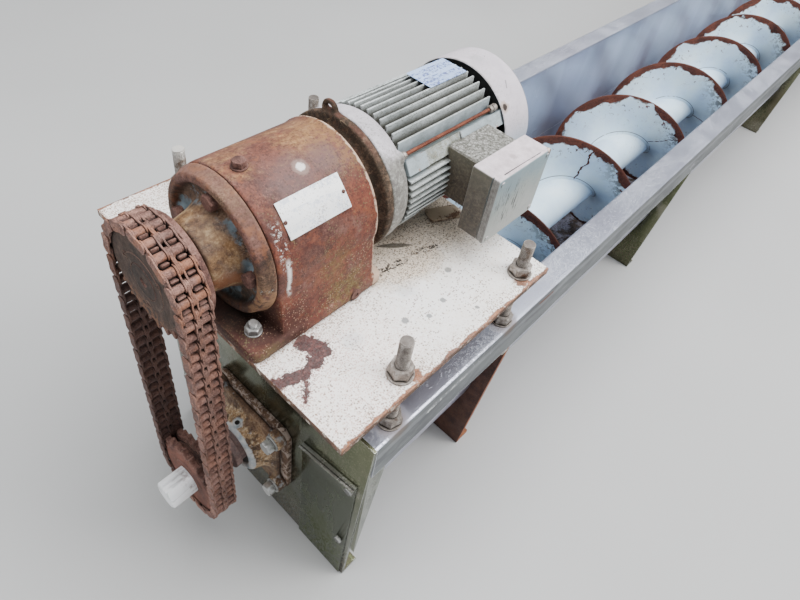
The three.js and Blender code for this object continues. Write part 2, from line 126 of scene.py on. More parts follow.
def slab(outline, low, high, edge=0.0, axis=0):
    """Flat piece with chamfered edges, thick along one axis."""
    if not edge:
        return stacked([(low, outline), (high, outline)], axis)
    inner = inset(outline, edge)
    return stacked(
        [(low, inner), (low + edge, outline), (high - edge, outline), (high, inner)], axis)


def rounded(points, radius, steps=4, closed=True):
    """Rounds the corners of an outline or of an open line."""
    p = [np.array(q, float) for q in points]
    line = []
    for i, corner in enumerate(p):
        if not closed and i in (0, len(p) - 1):
            line.append(corner)
            continue
        back, ahead = p[i - 1] - corner, p[(i + 1) % len(p)] - corner
        back_long, ahead_long = np.linalg.norm(back), np.linalg.norm(ahead)
        half = math.acos(np.clip(back @ ahead / back_long / ahead_long, -1, 1)) / 2
        if half > 1.56:
            line.append(corner)
            continue
        reach = min(radius / math.tan(half), back_long * 0.49, ahead_long * 0.49)
        start, end = corner + back / back_long * reach, corner + ahead / ahead_long * reach
        for k in range(steps + 1):
            t = k / steps
            line.append((1 - t) ** 2 * start + 2 * t * (1 - t) * corner + t * t * end)
    return np.array(line)


def ribbon(line, thick):
    """Closed outline of a sheet that follows an open line."""
    along = np.gradient(line, axis=0)
    along /= np.linalg.norm(along, axis=1)[:, None]
    side = np.stack([-along[:, 1], along[:, 0]], 1) * thick / 2
    return np.concatenate([line + side, (line - side)[::-1]])


def rectangle(x0, x1, y0, y1, corner, steps=4):
    """Outline with rounded corners."""
    return rounded([(x0, y0), (x1, y0), (x1, y1), (x0, y1)], corner, steps)


def block(x, y, z, edge, corner):
    """Upright box between pairs of limits, with chamfered edges and rounded corners."""
    return slab(rectangle(*x, *y, corner), *z, edge, 2)


def hexagon(across, high, bore=0.0):
    """Nut or bolt head along +X with the corners of its outer end turned off."""
    angle = np.arange(36) * TURN / 36
    flat = across / 2 / np.cos((angle + TURN / 12) % (TURN / 6) - TURN / 12)
    low = np.minimum(flat, across * 0.49)
    drop = across * 0.05

    def ring(x, radius):
        return np.stack([np.full(36, float(x)), radius * np.cos(angle), radius * np.sin(angle)], 1)

    rings = [ring(0, low), ring(drop * 0.6, flat), ring(high - drop, flat), ring(high, low)]
    if bore:
        hole = np.full(36, bore)
        rings += [ring(high, hole), ring(0, hole)]
    return loft(rings, looped=bool(bore))


def ring_washer(outer, inner, thick):
    edge = thick * 0.2
    return turned([
        (0, inner), (0, outer - edge), (edge, outer), (thick - edge, outer), (thick, outer - edge),
        (thick, inner)], 36, looped=True)


def threaded(radius, pitch, length, depth=None, steps=20):
    """Screwed rod along +X; its ends are chamfered."""
    depth = depth or pitch * 0.5
    angle = np.arange(steps) * TURN / steps
    rings = []
    for k in range(int(length / pitch * 4) + 1):
        x = k * pitch / 4
        phase = (x / pitch - angle / TURN) % 1
        r = radius - depth * np.abs(2 * phase - 1) ** 0.8
        r = np.minimum(r, radius - depth + min(x, length - x) * 1.2)
        rings.append(np.stack([np.full(steps, x), r * np.cos(angle), r * np.sin(angle)], 1))
    return loft(rings)


def tube(path, radius, steps=8):
    """Round bar that follows a list of points."""
    p = np.array(path, float)
    along = np.gradient(p, axis=0)
    along /= np.linalg.norm(along, axis=1)[:, None]
    side = np.cross(along, (0.31, 0.52, 0.79))
    side /= np.linalg.norm(side, axis=1)[:, None]
    up = np.cross(along, side)
    radii = np.broadcast_to(np.asarray(radius, float), len(p))
    angle = np.arange(steps) * TURN / steps
    return loft([
        p[i] + radii[i] * (np.outer(np.cos(angle), side[i]) + np.outer(np.sin(angle), up[i]))
        for i in range(len(p))])


def wander(*place):
    """Smooth noise from -1 to 1 at a place."""
    return noise.noise(Vector(place))


def polar(radius, degrees, x=0.0, z=0.0):
    """Place on a circle about an axis along X; degrees run from +Y towards +Z."""
    a = math.radians(degrees)
    return x, radius * math.cos(a), z + radius * math.sin(a)


class Shape:
    """Closed shells that make one mesh."""

    def __init__(self, *shells):
        self.points, self.faces, self.count = [], [], 0
        self.add(*shells)

    def add(self, *shells):
        for points, faces in shells:
            self.faces += [tuple(i + self.count for i in face) for face in faces]
            self.points.append(points)
            self.count += len(points)

    def mesh(self, name):
        mesh = bpy.data.meshes.new(name)
        mesh.from_pydata((np.concatenate(self.points) * MM).tolist(), [], self.faces)
        work = bmesh.new()
        work.from_mesh(mesh)
        bmesh.ops.recalc_face_normals(work, faces=work.faces)
        work.to_mesh(mesh)
        work.free()
        return mesh


def with_modifiers(mesh, settings):
    """The mesh after a list of (modifier type, settings) has been applied to it."""
    rough = bpy.data.objects.new("rough", mesh)
    bpy.context.scene.collection.objects.link(rough)
    for kind, values in settings:
        modifier = rough.modifiers.new(kind.lower(), kind)
        for key, value in values.items():
            setattr(modifier, key, value)
    graph = bpy.context.evaluated_depsgraph_get()
    done = bpy.data.meshes.new_from_object(rough.evaluated_get(graph), depsgraph=graph)
    bpy.data.objects.remove(rough)
    return done


def cast(shape, grain, rounds=4):
    """One casting with soft edges and filleted corners from shells that overlap."""
    return with_modifiers(shape.mesh("rough"), [
        ("REMESH", {"mode": "VOXEL", "voxel_size": grain * MM}),
        ("SMOOTH", {"factor": 0.5, "iterations": rounds}),
    ])


def softened(node, edge, segments=2):
    """A CAD node's own mesh with its edges rounded."""
    work = bmesh.new()
    work.from_mesh(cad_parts[node].data)
    bmesh.ops.remove_doubles(work, verts=work.verts, dist=2e-6)
    bmesh.ops.dissolve_limit(work, angle_limit=math.radians(1), verts=work.verts, edges=work.edges)
    mesh = bpy.data.meshes.new("sharp")
    work.to_mesh(mesh)
    work.free()
    return with_modifiers(mesh, [("BEVEL", {
        "width": edge * MM, "segments": segments, "limit_method": "ANGLE",
        "angle_limit": math.radians(25),
    })])


def make(name, form, finish, *stands_for, body="frame", crease=32):
    """One visible piece that rides on a body and may stand for CAD nodes."""
    mesh = form.mesh(name) if isinstance(form, Shape) else form
    mesh.name = name
    piece = bpy.data.objects.new(name, mesh)
    bpy.context.scene.collection.objects.link(piece)
    mesh.materials.clear()
    mesh.materials.append(finish.material)
    mesh.polygons.foreach_set("use_smooth", [True] * len(mesh.polygons))
    mesh.set_sharp_from_angle(angle=math.radians(crease))
    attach(piece, body)
    if stands_for:
        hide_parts(*stands_for)
    return piece


# Finishes

# Sockets of a Mix node that mixes colours
MIX_COLOURS, MIX_RESULT = 6, 2


class Field:
    """A value that changes over a surface; sums on it add Math nodes."""

    def __init__(self, finish, socket):
        self.finish, self.socket = finish, socket

    def math(self, operation, *values):
        return self.finish.node("ShaderNodeMath", {"operation": operation}, *values)

    def __add__(self, other):
        return self.math("ADD", self, other)

    __radd__ = __add__

    def __sub__(self, other):
        return self.math("SUBTRACT", self, other)

    def __rsub__(self, other):
        return self.math("SUBTRACT", other, self)

    def __mul__(self, other):
        return self.math("MULTIPLY", self, other)

    def __truediv__(self, other):
        return self.math("DIVIDE", self, other)

    def __pow__(self, other):
        return self.math("POWER", self, other)

    def __abs__(self):
        return self.math("ABSOLUTE", self)

    def least(self, other):
        return self.math("MINIMUM", self, other)

    def most(self, other):
        return self.math("MAXIMUM", self, other)

    def rise(self, low, high):
        """0 below low, 1 above high, smooth between; falls where low is the higher."""
        return self.finish.node(
            "ShaderNodeMapRange", {"interpolation_type": "SMOOTHSTEP", "clamp": True},
            self, low, high, 0.0, 1.0)

    def band(self, low, high, soft):
        """1 between two values, with soft borders."""
        return self.rise(low - soft, low + soft) * self.rise(high + soft, high - soft)


class Finish:
    """One material made of nodes; the name of a material slot is kept with it but not used."""

    def __init__(self, name, slot):
        self.slot = slot
        self.material = bpy.data.materials.new(name)
        self.material.use_nodes = True
        self.tree = self.material.node_tree
        self.tree.nodes.clear()
        self.shader = self.node("ShaderNodeBsdfPrincipled", {})
        self.node("ShaderNodeOutputMaterial", {}, self.shader, out=None)
        self.skin = None
        self.place = self.node("ShaderNodeTexCoord", {}, out="Object")
        self.x, self.y, self.z = [axis / MM for axis in self.split(self.place)]
        self.facing = self.split(self.other(self.place, "Normal"))

    def node(self, kind, settings, *values, out=0, **named):
        """A new node: its settings, then the values or links of its sockets."""
        made = self.tree.nodes.new(kind)
        for key, value in settings.items():
            if key == "stops":
                ramp = made.color_ramp
                while len(ramp.elements) < len(value):
                    ramp.elements.new(1)
                for element, (at, colour) in zip(ramp.elements, value):
                    element.position, element.color = at, (*colour, 1)
            else:
                setattr(made, key, value)
        for key, value in [*enumerate(values), *named.items()]:
            self.feed(made.inputs[key], value)
        return None if out is None else Field(self, made.outputs[out])

    def feed(self, socket, value):
        """Links a field to a socket, or sets the socket to a plain value."""
        if isinstance(value, Field):
            self.tree.links.new(value.socket, socket)
        elif value is not None:
            is_colour = socket.type == "RGBA"
            socket.default_value = (*value, 1) if is_colour else value

    def other(self, field, name):
        """Another output of the node that a field comes from."""
        return Field(self, field.socket.node.outputs[name])

    def split(self, vector):
        first = self.node("ShaderNodeSeparateXYZ", {}, vector)
        return [self.other(first, axis) for axis in "XYZ"]

    def shifted(self, stretch=(1, 1, 1), shift=0):
        """Object coordinates, stretched and shifted; a plain shift is along X."""
        if stretch == (1, 1, 1) and shift == 0:
            return self.place
        away = shift if isinstance(shift, tuple) else (shift, 0, 0)
        return self.vector("MULTIPLY_ADD", self.place, stretch, away)

    def cloud(self, size, detail=4.0, rough=0.6, stretch=(1, 1, 1), shift=0, bend=0.0):
        """Noise from 0 to 1 whose blotches are about size millimetres across."""
        return self.node(
            "ShaderNodeTexNoise", {}, Vector=self.shifted(stretch, shift), Scale=1 / MM / size,
            Detail=detail, Roughness=rough, Distortion=bend)

    def spots(self, size, shift=0):
        """Distance from scattered points, in spot sizes."""
        return self.node(
            "ShaderNodeTexVoronoi", {"feature": "F1"}, Vector=self.shifted(shift=shift),
            Scale=1 / MM / size, Randomness=1.0)

    def mix(self, mask, below, above):
        """Colour above over colour below where the mask is 1."""
        unused = [None] * (MIX_COLOURS - 1)
        return self.node(
            "ShaderNodeMix", {"data_type": "RGBA"}, mask, *unused, below, above, out=MIX_RESULT)

    def lay(self, mask, colour):
        """Puts a colour over the skin so far where the mask is 1."""
        self.skin = self.mix(mask, self.skin, colour)

    def ramp(self, value, *stops):
        return self.node("ShaderNodeValToRGB", {"stops": stops}, value)

    def vector(self, operation, *values, **named):
        return self.node("ShaderNodeVectorMath", {"operation": operation}, *values, **named)

    def stroke(self, start, end, size, soft, ragged=0.0):
        """1 within a distance of a line between two places; the border can be ragged."""
        a = Vector(start) * MM
        line = Vector(end) * MM - a
        here = self.vector("SUBTRACT", self.place, a)
        share = self.vector("DOT_PRODUCT", here, line / line.length_squared, out="Value")
        nearest = self.vector("SCALE", line, Scale=share.least(1).most(0))
        away = self.vector("DISTANCE", here, nearest, out="Value") / MM
        if ragged:
            away = away + (self.cloud(max(4, size * 0.9), 5, 0.7) - 0.5) * ragged * 2
        return away.rise(size + soft, size - soft * 0.2)

    def near(self, x, y, z, size, soft, ragged=0.0):
        """1 within a distance of a place, 0 beyond it."""
        return self.stroke((x, y, z), (x + 0.1, y, z), size, soft, ragged)

    def grains(self, size, share=0.5, shift=0, patch=0):
        """Fine irregular specks that cover about a share of the surface, denser in patches."""
        grain = self.cloud(size, 3, 0.6, shift=shift)
        limit = 0.5 + (0.5 - share) * 0.32
        if patch:
            limit = limit + (0.5 - self.cloud(patch, 3, 0.6, shift=(shift, 3, 0))) * 0.5
            return (grain - limit).rise(0, 0.04)
        return grain.rise(limit, limit + 0.04)

    def dots(self, size, share=0.3, shift=0, patch=0):
        """Separate round specks at random places, denser in patches."""
        away = self.spots(size, shift)
        luck = self.split(self.other(away, "Color"))[0]
        if patch:
            luck = luck + (0.5 - self.cloud(patch, 4, 0.6, shift=(shift, 5, 0))) * 1.6
        return away.rise(0.5, 0.32) * luck.rise(share + 0.04, share)

    def scratches(self, size, stretch):
        """Thin curved lines, here and there."""
        line = self.cloud(size, 2, 0.5, stretch, 11, 0.8)
        thin = abs(line - 0.5).rise(0.004, 0.0015)
        return thin * self.cloud(size * 2, 2, shift=13).rise(0.52, 0.6)

    def hollows(self, reach=8):
        """1 deep in corners and gaps, 0 in the open."""
        return 1 - self.node(
            "ShaderNodeAmbientOcclusion", {"samples": 6}, Distance=reach * MM, out="AO")

    def edges(self, radius=1.5):
        """1 along sharp edges, 0 on flats."""
        bevel = self.node("ShaderNodeBevel", {"samples": 4}, radius * MM)
        normal = self.node("ShaderNodeNewGeometry", {}, out="Normal")
        return (1 - self.vector("DOT_PRODUCT", bevel, normal, out="Value")).rise(0.02, 0.2)

    def axis_radius(self, height):
        """Distance from an axis along X at a height, in millimetres."""
        up = self.z - height
        return (self.y * self.y + up * up) ** 0.5

    def set(self, roughness, metallic=0.0, *layers):
        """Ends the finish; layers are (height field, depth in millimetres) pairs of bumps."""
        normal = None
        for height, depth in layers:
            normal = self.node(
                "ShaderNodeBump", {}, Strength=1.0, Distance=depth * MM, Height=height,
                Normal=normal)
        wanted = {
            "Base Color": self.skin, "Roughness": roughness, "Metallic": metallic, "Normal": normal}
        for key, value in wanted.items():
            self.feed(self.shader.socket.node.inputs[key], value)
        return self


def stainless_finish():
    f = Finish("weathered_stainless", "stainless")
    rolled = f.cloud(2.2, 3, 0.6, stretch=(0.03, 1, 1))
    # Lilac-blue tint in broad blotches: painted sky reflection on the steel
    f.skin = f.ramp(
        f.cloud(260, 3, 0.5, stretch=(1, 1, 0.6)), (0.32, (0.29, 0.3, 0.38)),
        (0.66, (0.48, 0.49, 0.6)))
    # Inner face of the near wall painted lighter and bluer: painted sky reflection, also made less
    # metallic
    within = f.facing[1].rise(0.6, 0.95) * f.y.rise(-120, -190)
    f.lay(within * 0.75, (0.68, 0.78, 0.98))
    shade = f.cloud(150, 2, 0.4, stretch=(1, 1, 0.2), bend=0.3).rise(0.5, 0.62)
    f.lay(shade * 0.34, (0.22, 0.19, 0.28))
    # Upward faces painted lighter: painted light from the sky above
    top = f.facing[2].rise(0.5, 0.9)
    f.lay(top * 0.5, (0.6, 0.64, 0.74))
    # Darker blotches on the upward faces: painted sky reflection
    sky = f.cloud(120, 3, 0.5, stretch=(0.4, 1, 1), shift=6).rise(0.5, 0.62)
    f.lay(sky * top * 0.4, (0.36, 0.36, 0.45))
    # Outside of the lip painted dark grey-green: painted reflection of grass, strongest on the near
    # side; made rough and barely metallic so it shows
    lip = abs(f.facing[1]).rise(0.6, 0.95) * abs(f.y).rise(257, 260)
    lip = lip * (0.3 + f.y.rise(0, -1) * 0.55)
    f.lay(lip, f.ramp(
        f.cloud(40, 5, 0.7, stretch=(0.4, 1, 1)), (0.4, (0.035, 0.041, 0.034)),
        (0.6, (0.115, 0.127, 0.115))))
    scuffs = f.cloud(26, 6, 0.75, stretch=(0.25, 1, 1)).rise(0.56, 0.66)
    f.lay(scuffs * lip * 0.4, (0.3, 0.32, 0.3))
    # Paler band along the upper part of the lip
    pale_lip_band = (f.z + f.cloud(60, 4) * 14).band(RIM_Z - 24, RIM_Z - 10, 3) * lip
    f.lay(pale_lip_band * 0.3, (0.4, 0.42, 0.44))
    dust = f.grains(3, 0.4, 0, 90) * top
    f.lay(dust * 0.22, (0.42, 0.41, 0.39))
    stain = f.near(33, -242, RIM_Z, 22, 14, 8).most(f.near(308, -242, RIM_Z, 22, 14, 8))
    f.lay(stain * 0.5, (0.2, 0.13, 0.09))
    cut = f.stroke((405, -RIM_OUT, 492), (452, -RIM_OUT, 489), 1.6, 1.5, 3)
    f.lay(cut * 0.85, (0.2, 0.06, 0.03))
    chips = f.stroke((100, -RIM_OUT, 478), (190, -RIM_OUT, 481), 3, 2, 9) * f.grains(7, 0.45)
    f.lay(chips * 0.7, (0.75, 0.76, 0.76))
    # Upward faces low in the trough painted darker: painted shade; the soil below lies on the same
    # faces
    low = f.facing[2].rise(0.1, 0.6) * f.z.rise(130, 60)
    f.lay(low * 0.6, (0.2, 0.18, 0.2))
    soil = low * f.cloud(60, 6, 0.7).rise(0.42, 0.52)
    f.lay(soil, f.ramp(
        f.cloud(8, 6, 0.8), (0.4, (0.01, 0.006, 0.004)), (0.54, (0.05, 0.03, 0.018)),
        (0.64, (0.16, 0.1, 0.06))))
    f.lay(low * f.grains(6, 0.4, 5) * 0.6, (0.06, 0.04, 0.03))
    splash = f.z.rise(110, 20) * f.cloud(12, 6, 0.8).rise(0.42, 0.62)
    f.lay(splash * 0.6, (0.13, 0.1, 0.07))
    # Edges and folds painted near white: painted highlight
    f.lay(f.edges(2.6) * 0.85, (0.9, 0.92, 0.97))
    scratch = f.scratches(80, (0.6, 1, 0.2))
    f.lay(scratch * (1 - top) * 0.16, (0.78, 0.8, 0.84))
    dirt_and_shade = (dust * 0.5 + soil + stain + splash + cut).least(1)
    dents = f.cloud(70, 2, 0.4, stretch=(0.6, 1, 1))
    return f.set(
        0.24 + rolled * 0.12 + dirt_and_shade * 0.4 + lip * 0.35,
        0.8 - dirt_and_shade * 0.6 - lip * 0.72 - within * 0.4,
        (rolled, 0.02), (dents * (0.3 + lip), 2.2), (dust + soil, 0.25))


def dull_stainless_finish():
    f = Finish("dull_stainless_olive_reflection", "dull_stainless")
    drawn = f.cloud(2.2, 3, 0.6, stretch=(1, 1, 0.04))
    # Dark olive base: painted reflection of grass on the steel
    f.skin = f.ramp(
        f.cloud(150, 4, 0.55, stretch=(1, 1, 0.4)),
        (0.34, (0.055, 0.064, 0.034)), (0.5, (0.095, 0.105, 0.055)), (0.68, (0.17, 0.17, 0.11)))
    brown = f.cloud(85, 5, 0.65, stretch=(1, 1, 0.3), shift=4).rise(0.5, 0.66)
    f.lay(brown * 0.5, (0.14, 0.105, 0.075))
    pale = f.cloud(90, 3, 0.5, stretch=(0.6, 0.6, 1), shift=8).rise(0.57, 0.7)
    f.lay(pale * 0.3, (0.4, 0.38, 0.32))
    run = f.cloud(14, 4, 0.6, stretch=(1, 1, 0.05)).rise(0.58, 0.72)
    f.lay(run * 0.2, (0.3, 0.29, 0.23))
    spots = f.grains(4, 0.3, 2, 70)
    f.lay(spots * 0.25, (0.32, 0.3, 0.23))
    soil = (f.z.rise(170, 10) + f.cloud(90, 3) - 0.4).least(1).most(0) * f.grains(5, 0.5, 6)
    f.lay(soil * 0.6, (0.12, 0.09, 0.06))
    # Pieces in front of the drive face painted darker olive green: painted reflection of grass
    added = f.x.rise(DRIVE_FACE_X - 0.4, DRIVE_FACE_X - 0.8)
    f.lay(added * 0.85, (0.062, 0.084, 0.018))
    # Top of the ledge in front of the drive face painted pale: painted highlight, with a dark line
    # along its fold
    ledge = f.facing[2].rise(0.25, 0.5) * f.x.rise(DRIVE_FACE_X - 0.5, DRIVE_FACE_X - 2)
    fold = f.x.band(DRIVE_FACE_X - 9, DRIVE_FACE_X - 7, 0.6)
    ledge_highlight = f.ramp(
        f.cloud(30, 4, 0.6, stretch=(1, 0.3, 1)), (0.4, (0.42, 0.42, 0.38)),
        (0.6, (0.72, 0.72, 0.68)))
    f.lay(ledge * 0.95, f.mix(fold * 0.85, ledge_highlight, (0.06, 0.06, 0.05)))
    wash = f.stroke((-24, -240, 352), (-24, -150, 328), 6, 22, 16)
    wash = wash.most(f.stroke((-24, 240, 352), (-24, 150, 328), 6, 22, 16))
    f.lay(wash * (1 - ledge) * 0.25, (0.5, 0.48, 0.42))
    folded = abs(f.facing[1]).rise(0.7, 0.95) * abs(f.y).rise(225, 240)
    f.lay(folded * 0.5, f.ramp(
        f.cloud(16, 6, 0.75, stretch=(1, 1, 0.3)), (0.42, (0.07, 0.085, 0.075)),
        (0.6, (0.36, 0.38, 0.34))))
    # Edges painted pale: painted highlight
    f.lay(f.edges(1.8) * 0.9, (0.66, 0.68, 0.64))
    scratch = f.scratches(50, (1, 1, 0.3))
    f.lay(scratch * 0.3, (0.36, 0.36, 0.32))
    # Near black in corners and gaps: painted shade
    corner = f.hollows(16) * (1 - ledge)
    f.lay(corner * 0.55, (0.014, 0.012, 0.008))
    return f.set(
        0.2 + brown * 0.16 + soil * 0.3 + run * 0.1, 0.92 - soil * 0.5 - ledge * 0.2,
        (drawn, 0.02), (f.cloud(110, 2), 0.9), (soil, 0.25))


RUSTS = {
    "orange": ((0.055, 0.018, 0.009), (0.15, 0.052, 0.022), (0.28, 0.1, 0.04), (0.42, 0.19, 0.085)),
    "brown": ((0.03, 0.016, 0.01), (0.085, 0.045, 0.026), (0.17, 0.095, 0.055), (0.3, 0.2, 0.13)),
    "mauve": ((0.04, 0.016, 0.012), (0.1, 0.046, 0.036), (0.18, 0.085, 0.066), (0.29, 0.16, 0.125)),
    "red": ((0.05, 0.013, 0.008), (0.125, 0.034, 0.02), (0.22, 0.062, 0.034), (0.33, 0.12, 0.066)),
    "rim": ((0.022, 0.006, 0.004), (0.07, 0.018, 0.01), (0.115, 0.03, 0.016), (0.2, 0.062, 0.034)),
    "chain": ((0.05, 0.022, 0.017), (0.13, 0.062, 0.048), (0.24, 0.12, 0.092), (0.4, 0.22, 0.165)),
}


def rust(f, kind, grain=7.0, shift=0):
    """Colour and height of a rusty skin."""
    broad = f.cloud(grain * 9, 4, 0.6, shift=shift, bend=0.4)
    fine = f.cloud(grain * 0.9, 8, 0.8, shift=shift)
    height = broad * 0.45 + fine * 0.55
    colour = f.ramp(height, *zip((0.4, 0.47, 0.54, 0.62), RUSTS[kind]))
    dots = f.grains(grain * 0.28, 0.22, shift + 4, grain * 10)
    colour = f.mix(dots * 0.4, colour, tuple(min(1, c * 1.3) for c in RUSTS[kind][3]))
    dark = f.grains(grain * 0.4, 0.22, shift + 8, grain * 6)
    return f.mix(dark * 0.6, colour, RUSTS[kind][0]), fine


def rusty_finish(name, slot, kind, grain=7.0, worn=0.4, paint=None, paint_share=0.6):
    f = Finish(name, slot)
    f.skin, height = rust(f, kind, grain)
    dark, middle, light = RUSTS[kind][0], RUSTS[kind][1], RUSTS[kind][3]
    pits = f.spots(grain * 0.7).rise(0.3, 0.12) * f.cloud(grain * 5, 3).rise(0.45, 0.6)
    f.lay(pits * 0.5, dark)
    if slot == "rusty_steel" and not paint:
        # Faces towards the drive end painted dark: painted shade
        dim = f.facing[0].rise(-0.5, -0.9)
        f.lay(dim * 0.8, f.ramp(
            f.cloud(30, 6, 0.7), (0.4, (0.02, 0.01, 0.011)), (0.62, (0.075, 0.04, 0.034))))
        # Faces to either side painted bright orange: painted light
        f.lay(abs(f.facing[1]).rise(0.7, 0.95) * 0.6, (0.36, 0.115, 0.05))
    if paint:
        left = f.cloud(grain * 5, 7, 0.75, shift=9).rise(paint_share, paint_share + 0.03)
        f.lay(left, paint)
        height = height + left
    f.lay(f.edges(1.2) * worn, light)
    # Darker in hollows: painted shade
    f.lay(f.hollows(9) * 0.75, tuple(c * 0.35 for c in dark))
    dry = f.cloud(2.0, 4, 0.8).rise(0.5, 0.75) * 0.3
    f.lay(dry, tuple(c * 1.3 for c in middle))
    return f.set(
        0.72 + height * 0.2, 0.1,
        (height, 0.5), (f.cloud(grain / 5, 3), 0.12), (pits, -0.25))


def screw_finish():
    f = Finish("white_screw_paint", "white_paint")
    radius = f.axis_radius(SCREW_Z)
    deep = (f.cloud(58, 3, 0.45) - 0.5) * 58 + (f.cloud(18, 6, 0.65) - 0.5) * 16
    deep = deep + (f.cloud(170, 2) - 0.5) * 44 + 19.5
    inward = radius + deep - FLIGHT_R
    rim = inward.rise(-0.4, 0.8)
    f.skin = f.ramp(
        f.cloud(110, 4, 0.55), (0.32, (0.57, 0.74, 0.91)), (0.5, (0.7, 0.88, 1.0)),
        (0.68, (0.8, 0.95, 1.0)))
    chalk = f.cloud(6, 5, 0.8).rise(0.48, 0.7)
    f.lay(chalk * 0.25, (0.88, 0.93, 0.98))
    veins = f.scratches(16, (1, 1, 1))
    f.lay(veins * 0.22, (0.42, 0.47, 0.54))
    grime = f.cloud(14, 7, 0.8).rise(0.56, 0.66) * f.cloud(170, 3).rise(0.52, 0.64)
    f.lay(grime * 0.5, (0.24, 0.25, 0.23))
    worn = f.y.rise(-40, -130) * radius.rise(95, 165)
    scab = worn * f.cloud(20, 6, 0.72, shift=3).rise(0.49, 0.55)
    f.lay(scab * 0.85, (0.11, 0.1, 0.07))
    cuts = f.scratches(38, (1, 0.3, 1)) * radius.rise(90, 130)
    f.lay(cuts * 0.75, (0.07, 0.06, 0.055))
    seam = radius.band(TUBE_R + 8.6, TUBE_R + 10.6, 0.5) * f.cloud(40, 3).rise(0.36, 0.46)
    f.lay(seam * 0.9, (0.04, 0.035, 0.03))
    chips = f.cloud(15, 5, 0.65, shift=5).rise(0.615, 0.625)
    chips = chips * radius.rise(FLIGHT_R - 80, FLIGHT_R - 25)
    bare = rim.most(chips)
    border = inward.rise(-3.4, -1.0) * (1 - bare) * f.cloud(24, 4).rise(0.4, 0.52)
    f.lay(border * 0.9, (0.035, 0.022, 0.015))
    halo = inward.rise(-15, -2) * f.cloud(12, 6, 0.75).rise(0.5, 0.6)
    f.lay(halo * 0.4, (0.52, 0.38, 0.25))
    skin, height = rust(f, "rim", 6)
    edge = (radius + deep * 0.35 - FLIGHT_R).rise(-2, 3)
    skin = f.mix(edge * 0.35, skin, (0.15, 0.045, 0.024))
    f.lay(bare, skin)
    # Downward faces painted darker brown: painted shade
    under = f.facing[2].rise(-0.2, -0.8)
    f.lay(under * 0.5, (0.13, 0.1, 0.08))
    return f.set(
        0.33 + bare * 0.45 + grime * 0.2 + chalk * 0.1, 0.0,
        (f.cloud(7, 4), 0.12), (1 - bare, 0.7), (height * bare, 0.5), (f.cloud(60, 2), 0.8))


def bright_finish():
    f = Finish("bright_turned_steel", "bright_steel")
    ring = f.cloud(1.0, 2, 0.5, stretch=(1, 0.02, 0.02))
    smear = f.cloud(22, 5, 0.6, stretch=(0.4, 1, 1))
    f.skin = f.ramp(
        smear, (0.36, (0.62, 0.62, 0.62)), (0.45, (0.9, 0.91, 0.92)), (0.58, (0.99, 0.99, 1.0)))
    line = f.cloud(30, 3, 0.5, stretch=(0.2, 1, 1), shift=3).band(0.49, 0.515, 0.006)
    f.lay(line * 0.3, (0.2, 0.2, 0.2))
    deep = f.x.rise(-188, -166) * f.cloud(9, 6, 0.75).rise(0.44, 0.7)
    inside = f.x.rise(-130, -120) * f.x.rise(FAR_X + 30, FAR_X)
    skin, height = rust(f, "mauve", 5)
    rusty = deep.most(inside)
    f.lay(rusty * 0.9, skin)
    return f.set(
        0.42 + ring * 0.12 + smear * 0.12 + rusty * 0.4, 0.12 - rusty * 0.12,
        (ring, 0.02), (height * rusty, 0.4))


